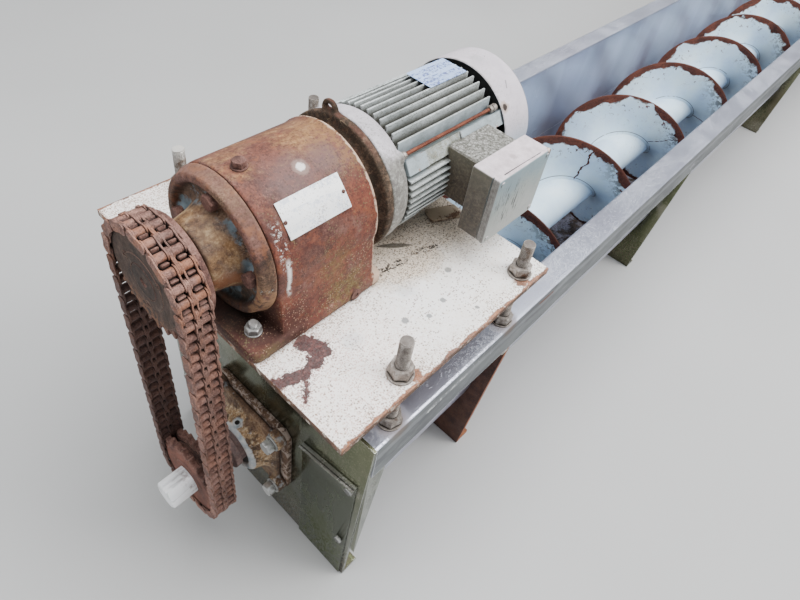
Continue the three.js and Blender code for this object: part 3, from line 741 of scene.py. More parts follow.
def cream_plate_finish():
    f = Finish("speckled_cream_paint", "cream_paint")
    front = f.x.rise(150, 20)
    top = f.facing[2].rise(0.6, 0.9)
    f.skin = f.ramp(
        f.cloud(150, 5, 0.6), (0.32, (0.9, 0.85, 0.79)), (0.5, (0.98, 0.955, 0.925)),
        (0.66, (0.99, 0.985, 0.975)))
    f.lay(front * 0.8, (1.0, 0.93, 0.88))
    pink = f.dots(2.4, 0.6, 1, 60) * (0.25 + front * 0.75)
    f.lay(pink * 0.62, (0.55, 0.29, 0.23))
    fly = f.dots(2.9, 0.2, 3, 45)
    f.lay(fly * 0.85, (0.2, 0.12, 0.08))
    buff = f.dots(4.2, 0.3, 6, 80)
    f.lay(buff * 0.3, (0.66, 0.55, 0.4))
    by_gear = f.y.rise(-150, -118) * f.x.rise(150, 110) + f.x.rise(-70, -92) + f.y.rise(-236, -262)
    f.lay(by_gear.least(1) * f.dots(3, 0.6, 9, 40) * 0.7, (0.32, 0.2, 0.12))
    strokes = (
        ((-26, -123), (-18, -148), 14), ((-20, -148), (-37, -156), 12),
        ((-37, -156), (-60, -160), 8), ((-60, -160), (-95, -150), 11),
        ((-64, -172), (-82, -190), 5))
    stain = halo = None
    for (x0, y0), (x1, y1), size in strokes:
        core = f.stroke((x0, y0, PLATE_Z), (x1, y1, PLATE_Z), size - 4, 5, 12)
        wide = f.stroke((x0, y0, PLATE_Z), (x1, y1, PLATE_Z), size + 2, 8, 16)
        stain, halo = (stain.most(core), halo.most(wide)) if stain else (core, wide)
    f.lay(halo * f.dots(2.8, 0.7, 2) * 0.8, (0.3, 0.12, 0.1))
    f.lay(stain.rise(0.1, 0.6) * 0.96, f.ramp(
        f.cloud(6, 6, 0.8), (0.4, (0.022, 0.003, 0.003)), (0.54, (0.06, 0.012, 0.011)),
        (0.64, (0.17, 0.06, 0.05))))
    for x, y, size in (
            (102, -188, 4.2), (134, -205, 2.8), (225, -165, 4), (172, -199, 3), (200, -241, 2)):
        f.lay(f.near(x, y, PLATE_Z, size + 0.8, 1.4, 3) * 0.8, (0.14, 0.15, 0.15))
    for x, y, size in ((23, -163, 9), (144, -149, 8)):
        f.lay(f.near(x, y, PLATE_Z, size, 14, 14) * 0.3, (0.36, 0.4, 0.46))
    sand = f.near(190, -62, PLATE_Z, 84, 26, 40).most(f.near(300, 20, PLATE_Z, 150, 60, 50)) * top
    f.lay(sand * 0.75, f.ramp(
        f.cloud(3.6, 6, 0.8), (0.38, (0.3, 0.21, 0.12)), (0.5, (0.66, 0.52, 0.37)),
        (0.62, (0.85, 0.75, 0.62))))
    f.lay(sand * f.dots(3.2, 0.6, 14, 60) * 0.75, (0.13, 0.08, 0.045))
    leaf = f.near(252, -4, PLATE_Z, 93, 2, 2) * f.near(148, -148, PLATE_Z, 93, 2, 2)
    f.lay(leaf * 0.85, (0.085, 0.075, 0.055))
    row = f.stroke((250, -119, PLATE_Z), (212, -105, PLATE_Z), 4, 3, 6)
    row = row.most(f.stroke((190, -107, PLATE_Z), (140, -101, PLATE_Z), 5, 3, 8))
    crumbs = row * f.cloud(5.5, 2, 0.5, shift=2).rise(0.48, 0.53) * f.cloud(3.4, 2).rise(0.42, 0.48)
    f.lay(crumbs * 0.95, (0.02, 0.016, 0.012))
    # Dark brown in the hollows round the feet and parts on the plate: painted shade
    feet = f.hollows(16).rise(0.2, 0.8)
    f.lay(feet * 0.8, (0.13, 0.075, 0.05))
    outer = (abs(f.y) + (f.cloud(16, 6, 0.7) - 0.5) * 20).rise(PLATE_HALF - 4.4, PLATE_HALF - 3)
    orange, height = rust(f, "orange", 4)
    ring = f.near(45, -256, PLATE_Z, 10, 5, 16).most(f.near(295, -256, PLATE_Z, 9, 5, 14))
    side = f.facing[2].rise(0.7, 0.4)
    bare = outer.most(ring).most(side)
    f.lay(bare * 0.92, orange)
    burnt = side * f.facing[2].rise(0.3, -0.1) * f.cloud(30, 5, 0.7).rise(0.38, 0.5)
    f.lay(burnt * 0.8, (0.05, 0.035, 0.025))
    pale = f.cloud(18, 6, 0.75, shift=4).rise(0.56, 0.6) * side
    f.lay(pale * 0.8, (0.6, 0.52, 0.44))
    # Underside painted darker brown: painted shade
    under = f.facing[2].rise(-0.5, -0.9)
    f.lay(under * 0.8, (0.2, 0.12, 0.08))
    return f.set(
        0.72 + bare * 0.15, 0.0,
        (f.cloud(2.6, 4, 0.7), 0.14), (1 - stain.most(bare), 0.35), (height * bare, 0.4),
        (crumbs.most(leaf), 1.0))


def gearbox_finish():
    f = Finish("gearbox_rust", "rusty_casting")
    f.skin, height = rust(f, "mauve", 7)
    red, _ = rust(f, "red", 8, 3)
    side = f.y.rise(-40, -80)
    f.lay(f.cloud(100, 5, 0.65).rise(0.44, 0.56) * (0.55 + side * 0.4), red)
    f.lay(f.cloud(26, 5, 0.7, shift=5).rise(0.54, 0.62) * 0.5, (0.27, 0.085, 0.035))
    above = f.facing[2]
    ochre = f.cloud(75, 6, 0.7, stretch=(0.5, 1, 1), shift=2).rise(0.46, 0.62)
    ochre = ochre * above.rise(0.6, 0.97)
    warm = f.ramp(
        f.cloud(9, 7, 0.8), (0.4, (0.13, 0.055, 0.026)), (0.5, (0.3, 0.15, 0.055)),
        (0.6, (0.5, 0.31, 0.14)))
    f.lay(ochre * 0.75, warm)
    rear = f.near(112, -20, GEAR_Z + 95, 34, 40, 30)
    f.lay(rear * f.grains(7, 0.6, 2) * 0.5, (0.36, 0.2, 0.055))
    f.lay(above.rise(0.5, 0.9) * f.x.rise(40, 100) * 0.35, (0.16, 0.06, 0.04))
    sheen = f.near(*polar(CASING_R, 118, 20, GEAR_Z), 26, 34, 22)
    sheen = sheen.most(f.near(*polar(CASING_R, 112, 70, GEAR_Z), 14, 26, 16))
    f.lay(sheen * 0.7, (0.12, 0.06, 0.056))
    low = f.near(59, -CASING_R, PLATE_Z + 26, 22, 30, 26)
    low = low.most(f.near(40, -CASING_R, PLATE_Z + 90, 16, 34, 30) * 0.7)
    moss = low * f.cloud(14, 6, 0.75, shift=6).rise(0.4, 0.56)
    f.lay(moss * 0.8, f.ramp(
        f.cloud(6, 6, 0.75), (0.35, (0.08, 0.06, 0.018)), (0.65, (0.24, 0.185, 0.05))))
    foot = f.z.rise(PLATE_Z + 24, PLATE_Z + 16) * f.x.rise(-40, -60)
    f.lay(foot * 0.7, (0.085, 0.04, 0.035))
    edge_moss = foot * f.y.rise(-104, -114) * f.cloud(12, 5, 0.7).rise(0.4, 0.55)
    f.lay(edge_moss * 0.8, (0.14, 0.12, 0.04))
    oil = f.near(-42, -60, PLATE_Z + 15, 46, 26, 30)
    f.lay(oil * 0.85, (0.022, 0.016, 0.012))
    dew = f.cloud(3.6, 6, 0.8).rise(0.53, 0.66) * f.cloud(60, 3, shift=1).rise(0.44, 0.6)
    f.lay(dew * 0.4, (0.4, 0.2, 0.125))
    f.lay(side * 0.3, (0.085, 0.01, 0.003))
    olive = side * f.dots(2.6, 0.3, 6, 60) * f.cloud(70, 4, 0.6, shift=9).rise(0.44, 0.56)
    f.lay(olive * 0.6, (0.2, 0.18, 0.08))
    dark = f.dots(3.4, 0.3, 12, 40)
    f.lay(dark * 0.5, (0.05, 0.018, 0.014))
    flecks = f.dots(2.3, 0.06, 4, 40) * side * f.z.rise(GEAR_Z + 20, GEAR_Z - 30)
    f.lay(flecks * 0.45, (0.56, 0.36, 0.24))
    run = f.x.band(-37, -31, 2.0) * f.z.band(PLATE_Z + 84, PLATE_Z + 138, 6) * f.y.rise(-60, -70)
    run = run * f.cloud(8, 5, 0.75).rise(0.4, 0.46)
    trail = f.x.band(-42, -30, 4) * f.z.band(PLATE_Z + 130, PLATE_Z + 180, 8) * f.y.rise(-60, -70)
    run = run.most(trail * f.cloud(5, 5, 0.75).rise(0.55, 0.6))
    oval = polar(CASING_R, 180 - 68.6, 36, GEAR_Z)
    ring = f.near(*oval, 9, 4, 6)
    f.lay(ring * 0.5, (0.34, 0.24, 0.2))
    run = run.most(f.near(*oval, 5, 2.4, 3))
    f.lay(run, (0.8, 0.76, 0.72))
    rim = (f.x + (f.cloud(9, 5, 0.7) - 0.5) * 12).rise(111, 113)
    rim = rim * f.cloud(14, 5, 0.7, shift=3).rise(0.36, 0.44)
    rim = rim * f.axis_radius(GEAR_Z).rise(101.5, 103.5)
    f.lay(rim * 0.8, (0.62, 0.46, 0.34))
    worn = f.edges(1.6) * f.cloud(14, 5).rise(0.4, 0.6)
    f.lay(worn * 0.6, (0.45, 0.26, 0.15))
    # Dark in hollows: painted shade
    f.lay(f.hollows(12).rise(0.2, 0.9) * 0.75, (0.03, 0.016, 0.011))
    return f.set(
        0.62 + height * 0.28 - sheen * 0.22, 0.05,
        (height, 0.6), (f.cloud(1.8, 4), 0.16), (run.most(rim).most(flecks), 0.3),
        (f.cloud(45, 3), 1.0))


def cover_finish():
    f = Finish("blue_grey_paint_over_rust", "rusty_casting")
    f.skin, height = rust(f, "brown", 7)
    red, _ = rust(f, "mauve", 8, 2)
    radius = f.axis_radius(GEAR_Z)
    outside = radius.rise(80, 84)
    f.lay(outside * f.cloud(60, 4).rise(0.36, 0.56), red)
    f.lay(outside * f.cloud(22, 5, 0.7, shift=9).rise(0.48, 0.6) * 0.7, (0.24, 0.09, 0.04))
    f.lay(outside * f.dots(3.2, 0.4, 5, 40) * 0.5, (0.05, 0.02, 0.014))
    top = f.facing[2].rise(0.3, 0.9)
    ochre = f.ramp(
        f.cloud(15, 8, 0.82), (0.38, (0.07, 0.03, 0.014)), (0.5, (0.24, 0.125, 0.05)),
        (0.62, (0.44, 0.3, 0.16)))
    boss = radius.rise(60, 55)
    f.lay(boss * f.cloud(48, 4, 0.6).rise(0.36, 0.5), ochre)
    patch = f.z.rise(GEAR_Z + 20, GEAR_Z - 10) * f.cloud(20, 5, 0.7, shift=12).rise(0.48, 0.56)
    f.lay(patch * boss * 0.8, (0.26, 0.095, 0.035))
    fur = f.scratches(9, (1, 0.3, 0.3)) * boss
    f.lay(fur * 0.6, (0.62, 0.48, 0.3))
    enamel = f.ramp(f.cloud(26, 5), (0.35, (0.1, 0.13, 0.145)), (0.65, (0.24, 0.33, 0.38)))
    kept = (1 - outside) * f.cloud(52, 6, 0.65, shift=7).rise(0.46, 0.53)
    kept = kept * (1 - boss * 0.95)
    f.lay(kept * 0.9, enamel)
    flake = f.cloud(20, 7, 0.75, shift=3).rise(0.62, 0.64) * f.z.rise(GEAR_Z + 40, GEAR_Z - 20)
    flake = outside * flake
    f.lay(flake, (0.36, 0.42, 0.39))
    f.lay(outside * top * 0.3, (0.24, 0.12, 0.075))
    lit = f.near(-66, -90, GEAR_Z - 40, 28, 26, 20) * radius.rise(84, 88)
    lit = lit * f.cloud(10, 5, 0.7).rise(0.4, 0.54)
    f.lay(lit * 0.55, (0.46, 0.26, 0.12))
    edge = f.edges(1.6) * f.cloud(12, 5).rise(0.35, 0.55)
    f.lay(edge * 0.65, (0.56, 0.33, 0.18))
    oil = f.z.rise(GEAR_Z - 25, GEAR_Z - 62) * f.cloud(30, 6, 0.7).rise(0.34, 0.5)
    oil = oil * (1 - outside * 0.6)
    f.lay(oil * 0.85, (0.022, 0.02, 0.013))
    # Dark in hollows: painted shade
    f.lay(f.hollows(16).rise(0.2, 0.9) * 0.75, (0.025, 0.018, 0.012))
    return f.set(
        0.62 + height * 0.25, 0.05,
        (height, 0.55), (kept.most(flake), 0.35), (f.cloud(2, 4), 0.14), (f.cloud(40, 3), 0.8))


def chain_finish():
    f = Finish("mauve_chain_rust", "rusty_chain")
    f.skin, height = rust(f, "chain", 4.5)
    warm = f.cloud(34, 4, shift=3).rise(0.48, 0.6) * (0.35 + f.z.rise(GEAR_Z - 90, GEAR_Z) * 0.65)
    f.lay(warm * 0.55, (0.36, 0.135, 0.062))
    grey = f.cloud(38, 4, shift=5).rise(0.52, 0.66)
    f.lay(grey * 0.3, (0.26, 0.17, 0.15))
    f.lay(f.edges(0.7) * 0.75, (0.56, 0.35, 0.27))
    fine = f.cloud(2.4, 4, 0.8).rise(0.5, 0.68)
    f.lay(fine * 0.35, (0.42, 0.25, 0.2))
    f.lay(f.dots(2.2, 0.35, 8, 30) * 0.5, (0.05, 0.022, 0.018))
    # Far strand below the top painted near black: painted shade
    rear = f.y.rise(10, 60) * f.z.rise(GEAR_Z + 30, GEAR_Z - 40)
    f.lay(rear * 0.55, (0.03, 0.015, 0.014))
    # Near black in the gaps between links: painted shade
    f.lay(f.hollows(8).rise(0.25, 0.85) * 0.92, (0.008, 0.005, 0.004))
    return f.set(0.62 + height * 0.2, 0.15, (height, 0.3), (f.cloud(1.2, 3), 0.08))


def sprocket_finish():
    f = Finish("mossy_sprocket", "rusty_chain")
    f.skin, height = rust(f, "mauve", 6)
    front = f.facing[0].rise(-0.7, -0.9) * f.x.rise(CHAIN_X - 12, CHAIN_X - 14)
    moss = f.ramp(
        f.cloud(14, 7, 0.8, stretch=(1, 1, 0.5)),
        (0.38, (0.01, 0.008, 0.004)), (0.47, (0.036, 0.024, 0.014)), (0.56, (0.09, 0.06, 0.04)),
        (0.66, (0.2, 0.15, 0.115)))
    upper = f.z.rise(480, 520)
    f.lay(front * (0.35 + upper * 0.5), moss)
    f.lay(front * upper * 0.45, (0.045, 0.018, 0.01))
    red, _ = rust(f, "red", 6, 2)
    lower = (1 - upper) * front
    f.lay(lower * 0.7, red)
    centre = f.axis_radius(GEAR_Z).rise(34, 20) * f.cloud(22, 5, 0.7, shift=8).rise(0.4, 0.55)
    centre = centre * upper
    black = (f.cloud(34, 5, 0.7, shift=8).rise(0.53, 0.62) * front * upper).most(centre)
    f.lay(black * 0.65, (0.01, 0.007, 0.005))
    rust_line = (f.z - f.y * 0.2).rise(GEAR_Z - 30, GEAR_Z - 62) * front * upper
    f.lay(rust_line * f.grains(6, 0.6, 1) * 0.6, (0.26, 0.11, 0.05))
    f.lay(f.edges(0.9) * 0.6, (0.36, 0.24, 0.18))
    # Dark in hollows: painted shade
    f.lay(f.hollows(9).rise(0.2, 0.85) * 0.85, (0.012, 0.008, 0.006))
    return f.set(0.7 + height * 0.2, 0.05, (height, 0.5), (f.cloud(4, 6, 0.75), 0.5))


def bearing_finish():
    f = Finish("stained_bearing_paint", "worn_paint")
    middle = (DRIVE_FACE_X + FAR_X + END_PLATE) / 2
    out = abs(f.x - middle) - (FAR_X + END_PLATE - middle)
    radius = f.axis_radius(SCREW_Z)
    paint = f.ramp(
        f.cloud(18, 4), (0.34, (0.32, 0.41, 0.47)), (0.5, (0.56, 0.59, 0.6)),
        (0.66, (0.74, 0.73, 0.7)))
    f.skin, height = rust(f, "brown", 6)
    warm = f.cloud(22, 6, 0.7, shift=2).rise(0.44, 0.56)
    ochre = f.ramp(
        f.cloud(5, 6, 0.8), (0.38, (0.2, 0.1, 0.045)), (0.5, (0.52, 0.33, 0.16)),
        (0.62, (0.85, 0.72, 0.52)))
    f.lay(warm * out.rise(18, 28) * 0.85, ochre)
    edge = (out + (f.cloud(20, 6, 0.7) - 0.5) * 10).rise(46.5, 49) * radius.rise(40, 44)
    ears = radius.rise(92, 99) * f.cloud(14, 6, 0.7, shift=4).rise(0.5, 0.6)
    chips = f.cloud(16, 7, 0.8, shift=6).rise(0.6, 0.66)
    crown = f.near(DRIVE_FACE_X - 41, 0, SCREW_Z + 60, 8, 4, 5)
    kept = edge.most(ears * 0.7).most(chips * 0.7).most(crown)
    f.lay(kept * 0.85, paint)
    streak = f.cloud(9, 6, 0.8, shift=16).rise(0.52, 0.66)
    f.lay(streak * 0.6, (0.3, 0.17, 0.08))
    # Black spot inside the grease hole: painted shade
    hole = f.near(DRIVE_FACE_X - 41, 0, SCREW_Z + 60, 4.2, 1)
    f.lay(hole, (0.01, 0.008, 0.006))
    # Near black round the shaft: painted shade between housing and sprocket
    inner = radius.rise(43, 40)
    f.lay(inner * 0.9, (0.02, 0.014, 0.01))
    # Dark in hollows: painted shade
    f.lay(f.hollows(12).rise(0.15, 0.85) * 0.8, (0.02, 0.013, 0.008))
    return f.set(0.6 + height * 0.2, 0.05, (height, 0.5), (kept, 0.25), (f.cloud(2, 4), 0.12))


def motor_paint(name, slot, low, high, speckle=0.5, blue=0.0):
    """Dusty motor enamel, pale on top; painted shade darkens the gaps and, when asked, makes the
    lower faces bluish.
    """
    f = Finish(name, slot)
    blotch = f.cloud(70, 5, 0.6)
    f.skin = f.ramp(blotch, (0.3, low), (0.68, high))
    if blue:
        # Lower faces turned bluish: painted shade
        lower = f.facing[2].rise(0.5, -0.1) * blue
        f.lay(lower, (0.36, 0.46, 0.55))
    rub = f.cloud(14, 5, 0.7).rise(0.5, 0.68)
    f.lay(rub * 0.25, tuple(c * 0.7 for c in low))
    grain = f.cloud(3.0, 6, 0.8).rise(0.48, 0.64) * f.cloud(50, 4, shift=2).rise(0.36, 0.6)
    f.lay(grain * speckle, (0.13, 0.12, 0.09))
    # Dark in the gaps between fins and parts: painted shade
    deep = f.hollows(12)
    f.lay(deep.rise(0.12, 0.75) * 0.9, (0.03, 0.027, 0.018))
    f.lay(f.edges(0.9) * 0.45, tuple(min(1, c * 1.25) for c in high))
    chips = f.spots(26, shift=3).rise(0.05, 0.03)
    f.lay(chips, (0.12, 0.07, 0.045))
    return f, deep, grain


def frame_finish():
    f, deep, grain = motor_paint(
        "dusty_finned_frame", "motor_grey", (0.34, 0.37, 0.37), (0.61, 0.65, 0.65), speckle=0.75)
    radius = f.axis_radius(GEAR_Z)
    root = radius.rise(98, 88)
    f.lay(f.dots(2.6, 0.4, 5, 60) * 0.55, (0.09, 0.085, 0.065))
    f.lay(f.cloud(9, 7, 0.8, shift=4).rise(0.52, 0.66) * 0.45, (0.2, 0.2, 0.17))
    # Darker towards the fin roots: painted shade in the gaps, speckled with dust
    f.lay(root * 0.6, f.ramp(
        f.cloud(5, 6, 0.8), (0.35, (0.03, 0.028, 0.018)), (0.65, (0.16, 0.15, 0.11))))
    pads = abs(f.y).band(70, 96, 3) * f.z.rise(GEAR_Z + 30, GEAR_Z + 40)
    moss = pads * f.x.band(230, 306, 2) * f.cloud(8, 6, 0.75).rise(0.4, 0.55)
    f.lay(moss * 0.8, f.ramp(
        f.cloud(4, 6, 0.8), (0.42, (0.07, 0.07, 0.035)), (0.58, (0.36, 0.36, 0.29))))
    clear = pads * (1 - f.x.band(226, 308, 2))
    clear = clear.most(abs(f.y).band(62.6, 74, 0.6) * f.z.rise(GEAR_Z + 52, GEAR_Z + 58))
    f.lay(clear * 0.75, f.ramp(
        f.cloud(20, 5, 0.65), (0.36, (0.29, 0.35, 0.37)), (0.64, (0.44, 0.52, 0.57))))
    rust_run = f.cloud(16, 6, 0.7, shift=7).rise(0.6, 0.66) * pads
    f.lay(rust_run * 0.7, (0.3, 0.13, 0.06))
    return f.set(0.6 + grain * 0.2, 0.1, (grain, 0.3), (f.cloud(4, 5), 0.2), (deep, 0.4))


def cowl_finish():
    f, _, grain = motor_paint(
        "pale_lilac_enamel", "lilac_grey", (0.5, 0.45, 0.5), (0.68, 0.62, 0.67), 0.3, blue=0.75)
    hole = f.near(*polar(COWL_R, 142, 416, GEAR_Z), 4.5, 2, 4)
    ring = f.near(*polar(COWL_R, 142, 416, GEAR_Z), 8, 3, 8)
    f.lay(ring * 0.6, (0.42, 0.3, 0.2))
    # Dark inside the screw hole: painted shade
    f.lay(hole, (0.03, 0.018, 0.012))
    scratch = f.stroke(
        polar(COWL_R, 128, 438, GEAR_Z), polar(COWL_R, 122, 445, GEAR_Z), 1.0, 0.8, 2)
    f.lay(scratch * 0.7, (0.16, 0.15, 0.15))
    smudge = f.near(*polar(COWL_R, 89, 436, GEAR_Z), 9, 4, 8)
    f.lay(smudge * 0.45, (0.42, 0.42, 0.42))
    rim = f.x.rise(412, 408) * f.cloud(10, 5, 0.7).rise(0.4, 0.55)
    f.lay(rim * 0.6, (0.2, 0.18, 0.15))
    # Inside of the cowl painted near black: painted shade
    hidden = f.x.rise(COWL_X[1] - 1, COWL_X[1] - 2.4).most(f.facing[0].rise(0.1, -0.2))
    inside = f.axis_radius(GEAR_Z).rise(COWL_R - 0.8, COWL_R - 1.6) * hidden
    f.lay(inside, (0.012, 0.011, 0.01))
    return f.set(
        0.45 + grain * 0.2, 0.0,
        (f.cloud(5, 4), 0.1), (f.cloud(60, 2), 0.8), (hole, -1.0))


def bell_finish():
    f, _, grain = motor_paint(
        "dirty_pale_bell", "lilac_grey", (0.42, 0.39, 0.42), (0.7, 0.65, 0.69), speckle=0.75)
    # Lower part of the bell darker and speckled: mud, with painted shade
    low = f.z.rise(GEAR_Z + 96, GEAR_Z + 50)
    mud_and_shade = (low + (f.cloud(22, 6, 0.75) - 0.5) * 2.0).rise(0.2, 0.65)
    f.lay(mud_and_shade * 0.8, f.ramp(
        f.cloud(6, 6, 0.85), (0.4, (0.06, 0.052, 0.034)), (0.52, (0.17, 0.165, 0.13)),
        (0.62, (0.4, 0.41, 0.37))))
    return f.set(0.55 + grain * 0.2, 0.0, (f.cloud(5, 4), 0.15), (mud_and_shade, 0.4), (f.cloud(3, 5), 0.2))


def adapter_finish():
    f = Finish("mossy_brown_adapter", "rusty_casting")
    f.skin, height = rust(f, "brown", 6)
    moss = f.cloud(9, 7, 0.8).rise(0.42, 0.58)
    f.lay(moss * 0.8, (0.036, 0.024, 0.012))
    f.lay(0.35, (0.03, 0.02, 0.012))
    thread = f.scratches(24, (1, 0.4, 0.4))
    f.lay(thread * 0.5, (0.35, 0.27, 0.16))
    red = f.facing[2].rise(0.6, 0.95) * f.cloud(30, 4).rise(0.45, 0.6)
    f.lay(red * 0.5, (0.16, 0.06, 0.04))
    return f.set(0.85, 0.0, (moss, 0.9), (height, 0.6), (f.cloud(3, 5, 0.8), 0.5))


def box_finish(name, slot, lid):
    f, _, grain = motor_paint(
        name, slot, (0.42, 0.43, 0.42), (0.6, 0.62, 0.6), speckle=0.5)
    # Top painted pale lilac: painted light from the sky
    lilac = f.ramp(f.cloud(30, 6, 0.75), (0.34, (0.5, 0.42, 0.44)), (0.6, (0.74, 0.65, 0.68)))
    above = f.facing[2].rise(0.5, 0.85) * f.y.rise(BOX_Y[1] + 2, BOX_Y[1])
    f.lay(above, lilac)
    neck = f.y.rise(BOX_Y[1] - 1, BOX_Y[1] + 1)
    f.lay(neck * 0.95, f.ramp(
        f.cloud(4.2, 6, 0.85), (0.42, (0.035, 0.032, 0.022)), (0.5, (0.14, 0.135, 0.11)),
        (0.6, (0.42, 0.41, 0.4))))
    # Faces towards the drive end painted dark: painted shade, mottled with mossy dirt, lighter
    # towards the top and on the lid's edge strip
    drive = f.facing[0].rise(-0.5, -0.9)
    mud_and_shade = f.ramp(
        f.cloud(7, 7, 0.85), (0.4, (0.014, 0.01, 0.006)), (0.5, (0.042, 0.03, 0.019)),
        (0.62, (0.095, 0.077, 0.053)))
    mud_and_shade = f.mix(f.z.rise(PLATE_Z + 110, PLATE_Z + 170) * 0.4, mud_and_shade, (0.12, 0.115, 0.075))
    strip = f.y.rise(BOX_Y[0] + 7, BOX_Y[0] + 5)
    mud_and_shade = f.mix(strip * 0.85, mud_and_shade, f.ramp(
        f.cloud(6, 6, 0.8), (0.4, (0.1, 0.095, 0.085)), (0.6, (0.24, 0.235, 0.225))))
    f.lay(drive * 0.94, mud_and_shade)
    outer = f.facing[1].rise(-0.6, -0.9)
    green = f.ramp(
        (f.z - PLATE_Z - 50) / 130 + (f.cloud(50, 5, 0.6) - 0.5) * 0.8, (0.15, (0.44, 0.45, 0.42)),
        (0.5, (0.31, 0.34, 0.32)), (0.85, (0.19, 0.27, 0.3)))
    f.lay(outer * 0.88, green)
    scribble = f.cloud(7, 2, 0.5, stretch=(3, 1, 0.3)).rise(0.58, 0.62)
    scribble = scribble * f.near(302, BOX_Y[0] - 6, PLATE_Z + 116, 30, 18, 26)
    f.lay(scribble * outer * 0.9, (0.04, 0.04, 0.035))
    line = f.stroke((277, -184, BOX_Z[1]), (363, -186.5, BOX_Z[1]), 1.0, 0.5, 0.5)
    f.lay(line, (0.02, 0.014, 0.016))
    smear = f.near(322, -166, BOX_Z[1], 4, 4, 4)
    f.lay(smear * 0.5, (0.3, 0.24, 0.24))
    if lid:
        corner = f.near(BOX_X[1], BOX_Y[0] - 6, BOX_Z[1], 7, 4, 10)
        f.lay(corner, f.ramp(
            f.cloud(5, 3, 0.6), (0.46, (0.07, 0.03, 0.018)), (0.54, (0.74, 0.6, 0.5))))
    return f.set(
        0.55 + grain * 0.2, 0.0,
        (grain, 0.15), (f.cloud(4, 5), 0.15), (f.cloud(50, 2), 0.5))


def data_plate_finish(name, tint, ink, share):
    """Bare plate; worn print shows only as smudges in rows."""
    f = Finish(name, "plate_white")
    f.skin = f.ramp(f.cloud(40, 4), (0.3, tuple(c * 0.85 for c in tint)), (0.7, tint))
    rows = f.cloud(9, 2, 0.4, stretch=(0.05, 1, 1), shift=2).rise(0.46, 0.52)
    smudge = rows * f.cloud(5, 5, 0.8).rise(0.48, 0.56) * f.cloud(45, 2, shift=6).rise(0.36, 0.48)
    f.lay(smudge * share, ink)
    specks = f.grains(2.2, 0.16, 2, 30)
    f.lay(specks * 0.6, (0.24, 0.17, 0.13))
    return f.set(0.4 + smudge * 0.1, 0.15, (f.cloud(20, 2), 0.15))


def stud_finish():
    f = Finish("corroded_zinc_stud", "grey_steel")
    f.skin, height = rust(f, "brown", 3.5)
    zinc = f.ramp(
        f.cloud(7, 5, 0.7), (0.36, (0.17, 0.14, 0.12)), (0.5, (0.28, 0.245, 0.215)),
        (0.64, (0.43, 0.39, 0.36)))
    f.lay(f.cloud(24, 5, 0.6).rise(0.3, 0.42), zinc)
    x, y, above = STUDS["far_front"]
    pale = f.near(x, y, PLATE_Z + above, 10, 4, 4) + f.near(x, y, PLATE_Z + above - 10, 8, 6, 6)
    f.lay(pale.least(1) * 0.8, (0.72, 0.7, 0.66))
    end = f.facing[2].rise(0.9, 0.99) * f.z.rise(PLATE_Z + 60, PLATE_Z + 62) * (1 - pale.least(1))
    f.lay(end * 0.7, (0.11, 0.095, 0.085))
    f.lay(f.edges(0.8) * 0.6, (0.66, 0.61, 0.55))
    # Dark in the thread grooves and gaps: painted shade
    f.lay(f.hollows(2).rise(0.12, 0.4) * 0.8, (0.03, 0.022, 0.017))
    f.lay(f.hollows(5).rise(0.12, 0.6) * 0.88, (0.022, 0.016, 0.011))
    return f.set(0.4 + height * 0.2, 0.45, (height, 0.12), (f.cloud(1.5, 3), 0.06))


def zinc_finish():
    f = Finish("weathered_zinc", "bright_steel")
    bloom = f.cloud(7, 5, 0.6)
    f.skin = f.ramp(bloom, (0.35, (0.42, 0.41, 0.39)), (0.65, (0.7, 0.7, 0.69)))
    # Side faces painted darker, some facets darker still: painted shade
    side = f.facing[2].rise(0.6, 0.3)
    f.lay(side * 0.6, (0.2, 0.19, 0.18))
    dim = (f.facing[0] - f.facing[1] * 0.4).rise(0.2, -0.5) * side * f.x.rise(-90, -80)
    f.lay(dim * 0.75, (0.045, 0.042, 0.04))
    # Faces towards the drive end painted pale: painted light
    front = f.facing[0].rise(-0.8, -0.97) * f.x.rise(-40, -44)
    f.lay(front * 0.75, (0.78, 0.78, 0.75))
    # Edges painted near white: painted glint
    f.lay(f.edges(0.6) * 0.7, (0.95, 0.95, 0.93))
    # Dark in hollows: painted shade, which also makes them less metallic
    dirt_and_shade = f.hollows(5).rise(0.15, 0.7)
    f.lay(dirt_and_shade * 0.9, (0.03, 0.022, 0.016))
    return f.set(0.3 + bloom * 0.2, 0.55 - dirt_and_shade * 0.5, (bloom, 0.08))


def plastic_finish(name, low, high):
    f = Finish(name, "gland_plastic")
    blotch = f.cloud(12, 5, 0.7)
    f.skin = f.ramp(blotch, (0.35, low), (0.65, high))
    # Dark in hollows: painted shade
    dirt_and_shade = f.hollows(6).rise(0.2, 0.8)
    f.lay(dirt_and_shade * 0.6, (0.03, 0.025, 0.02))
    return f.set(0.5 + blotch * 0.2, 0.0, (f.cloud(2, 3), 0.05))


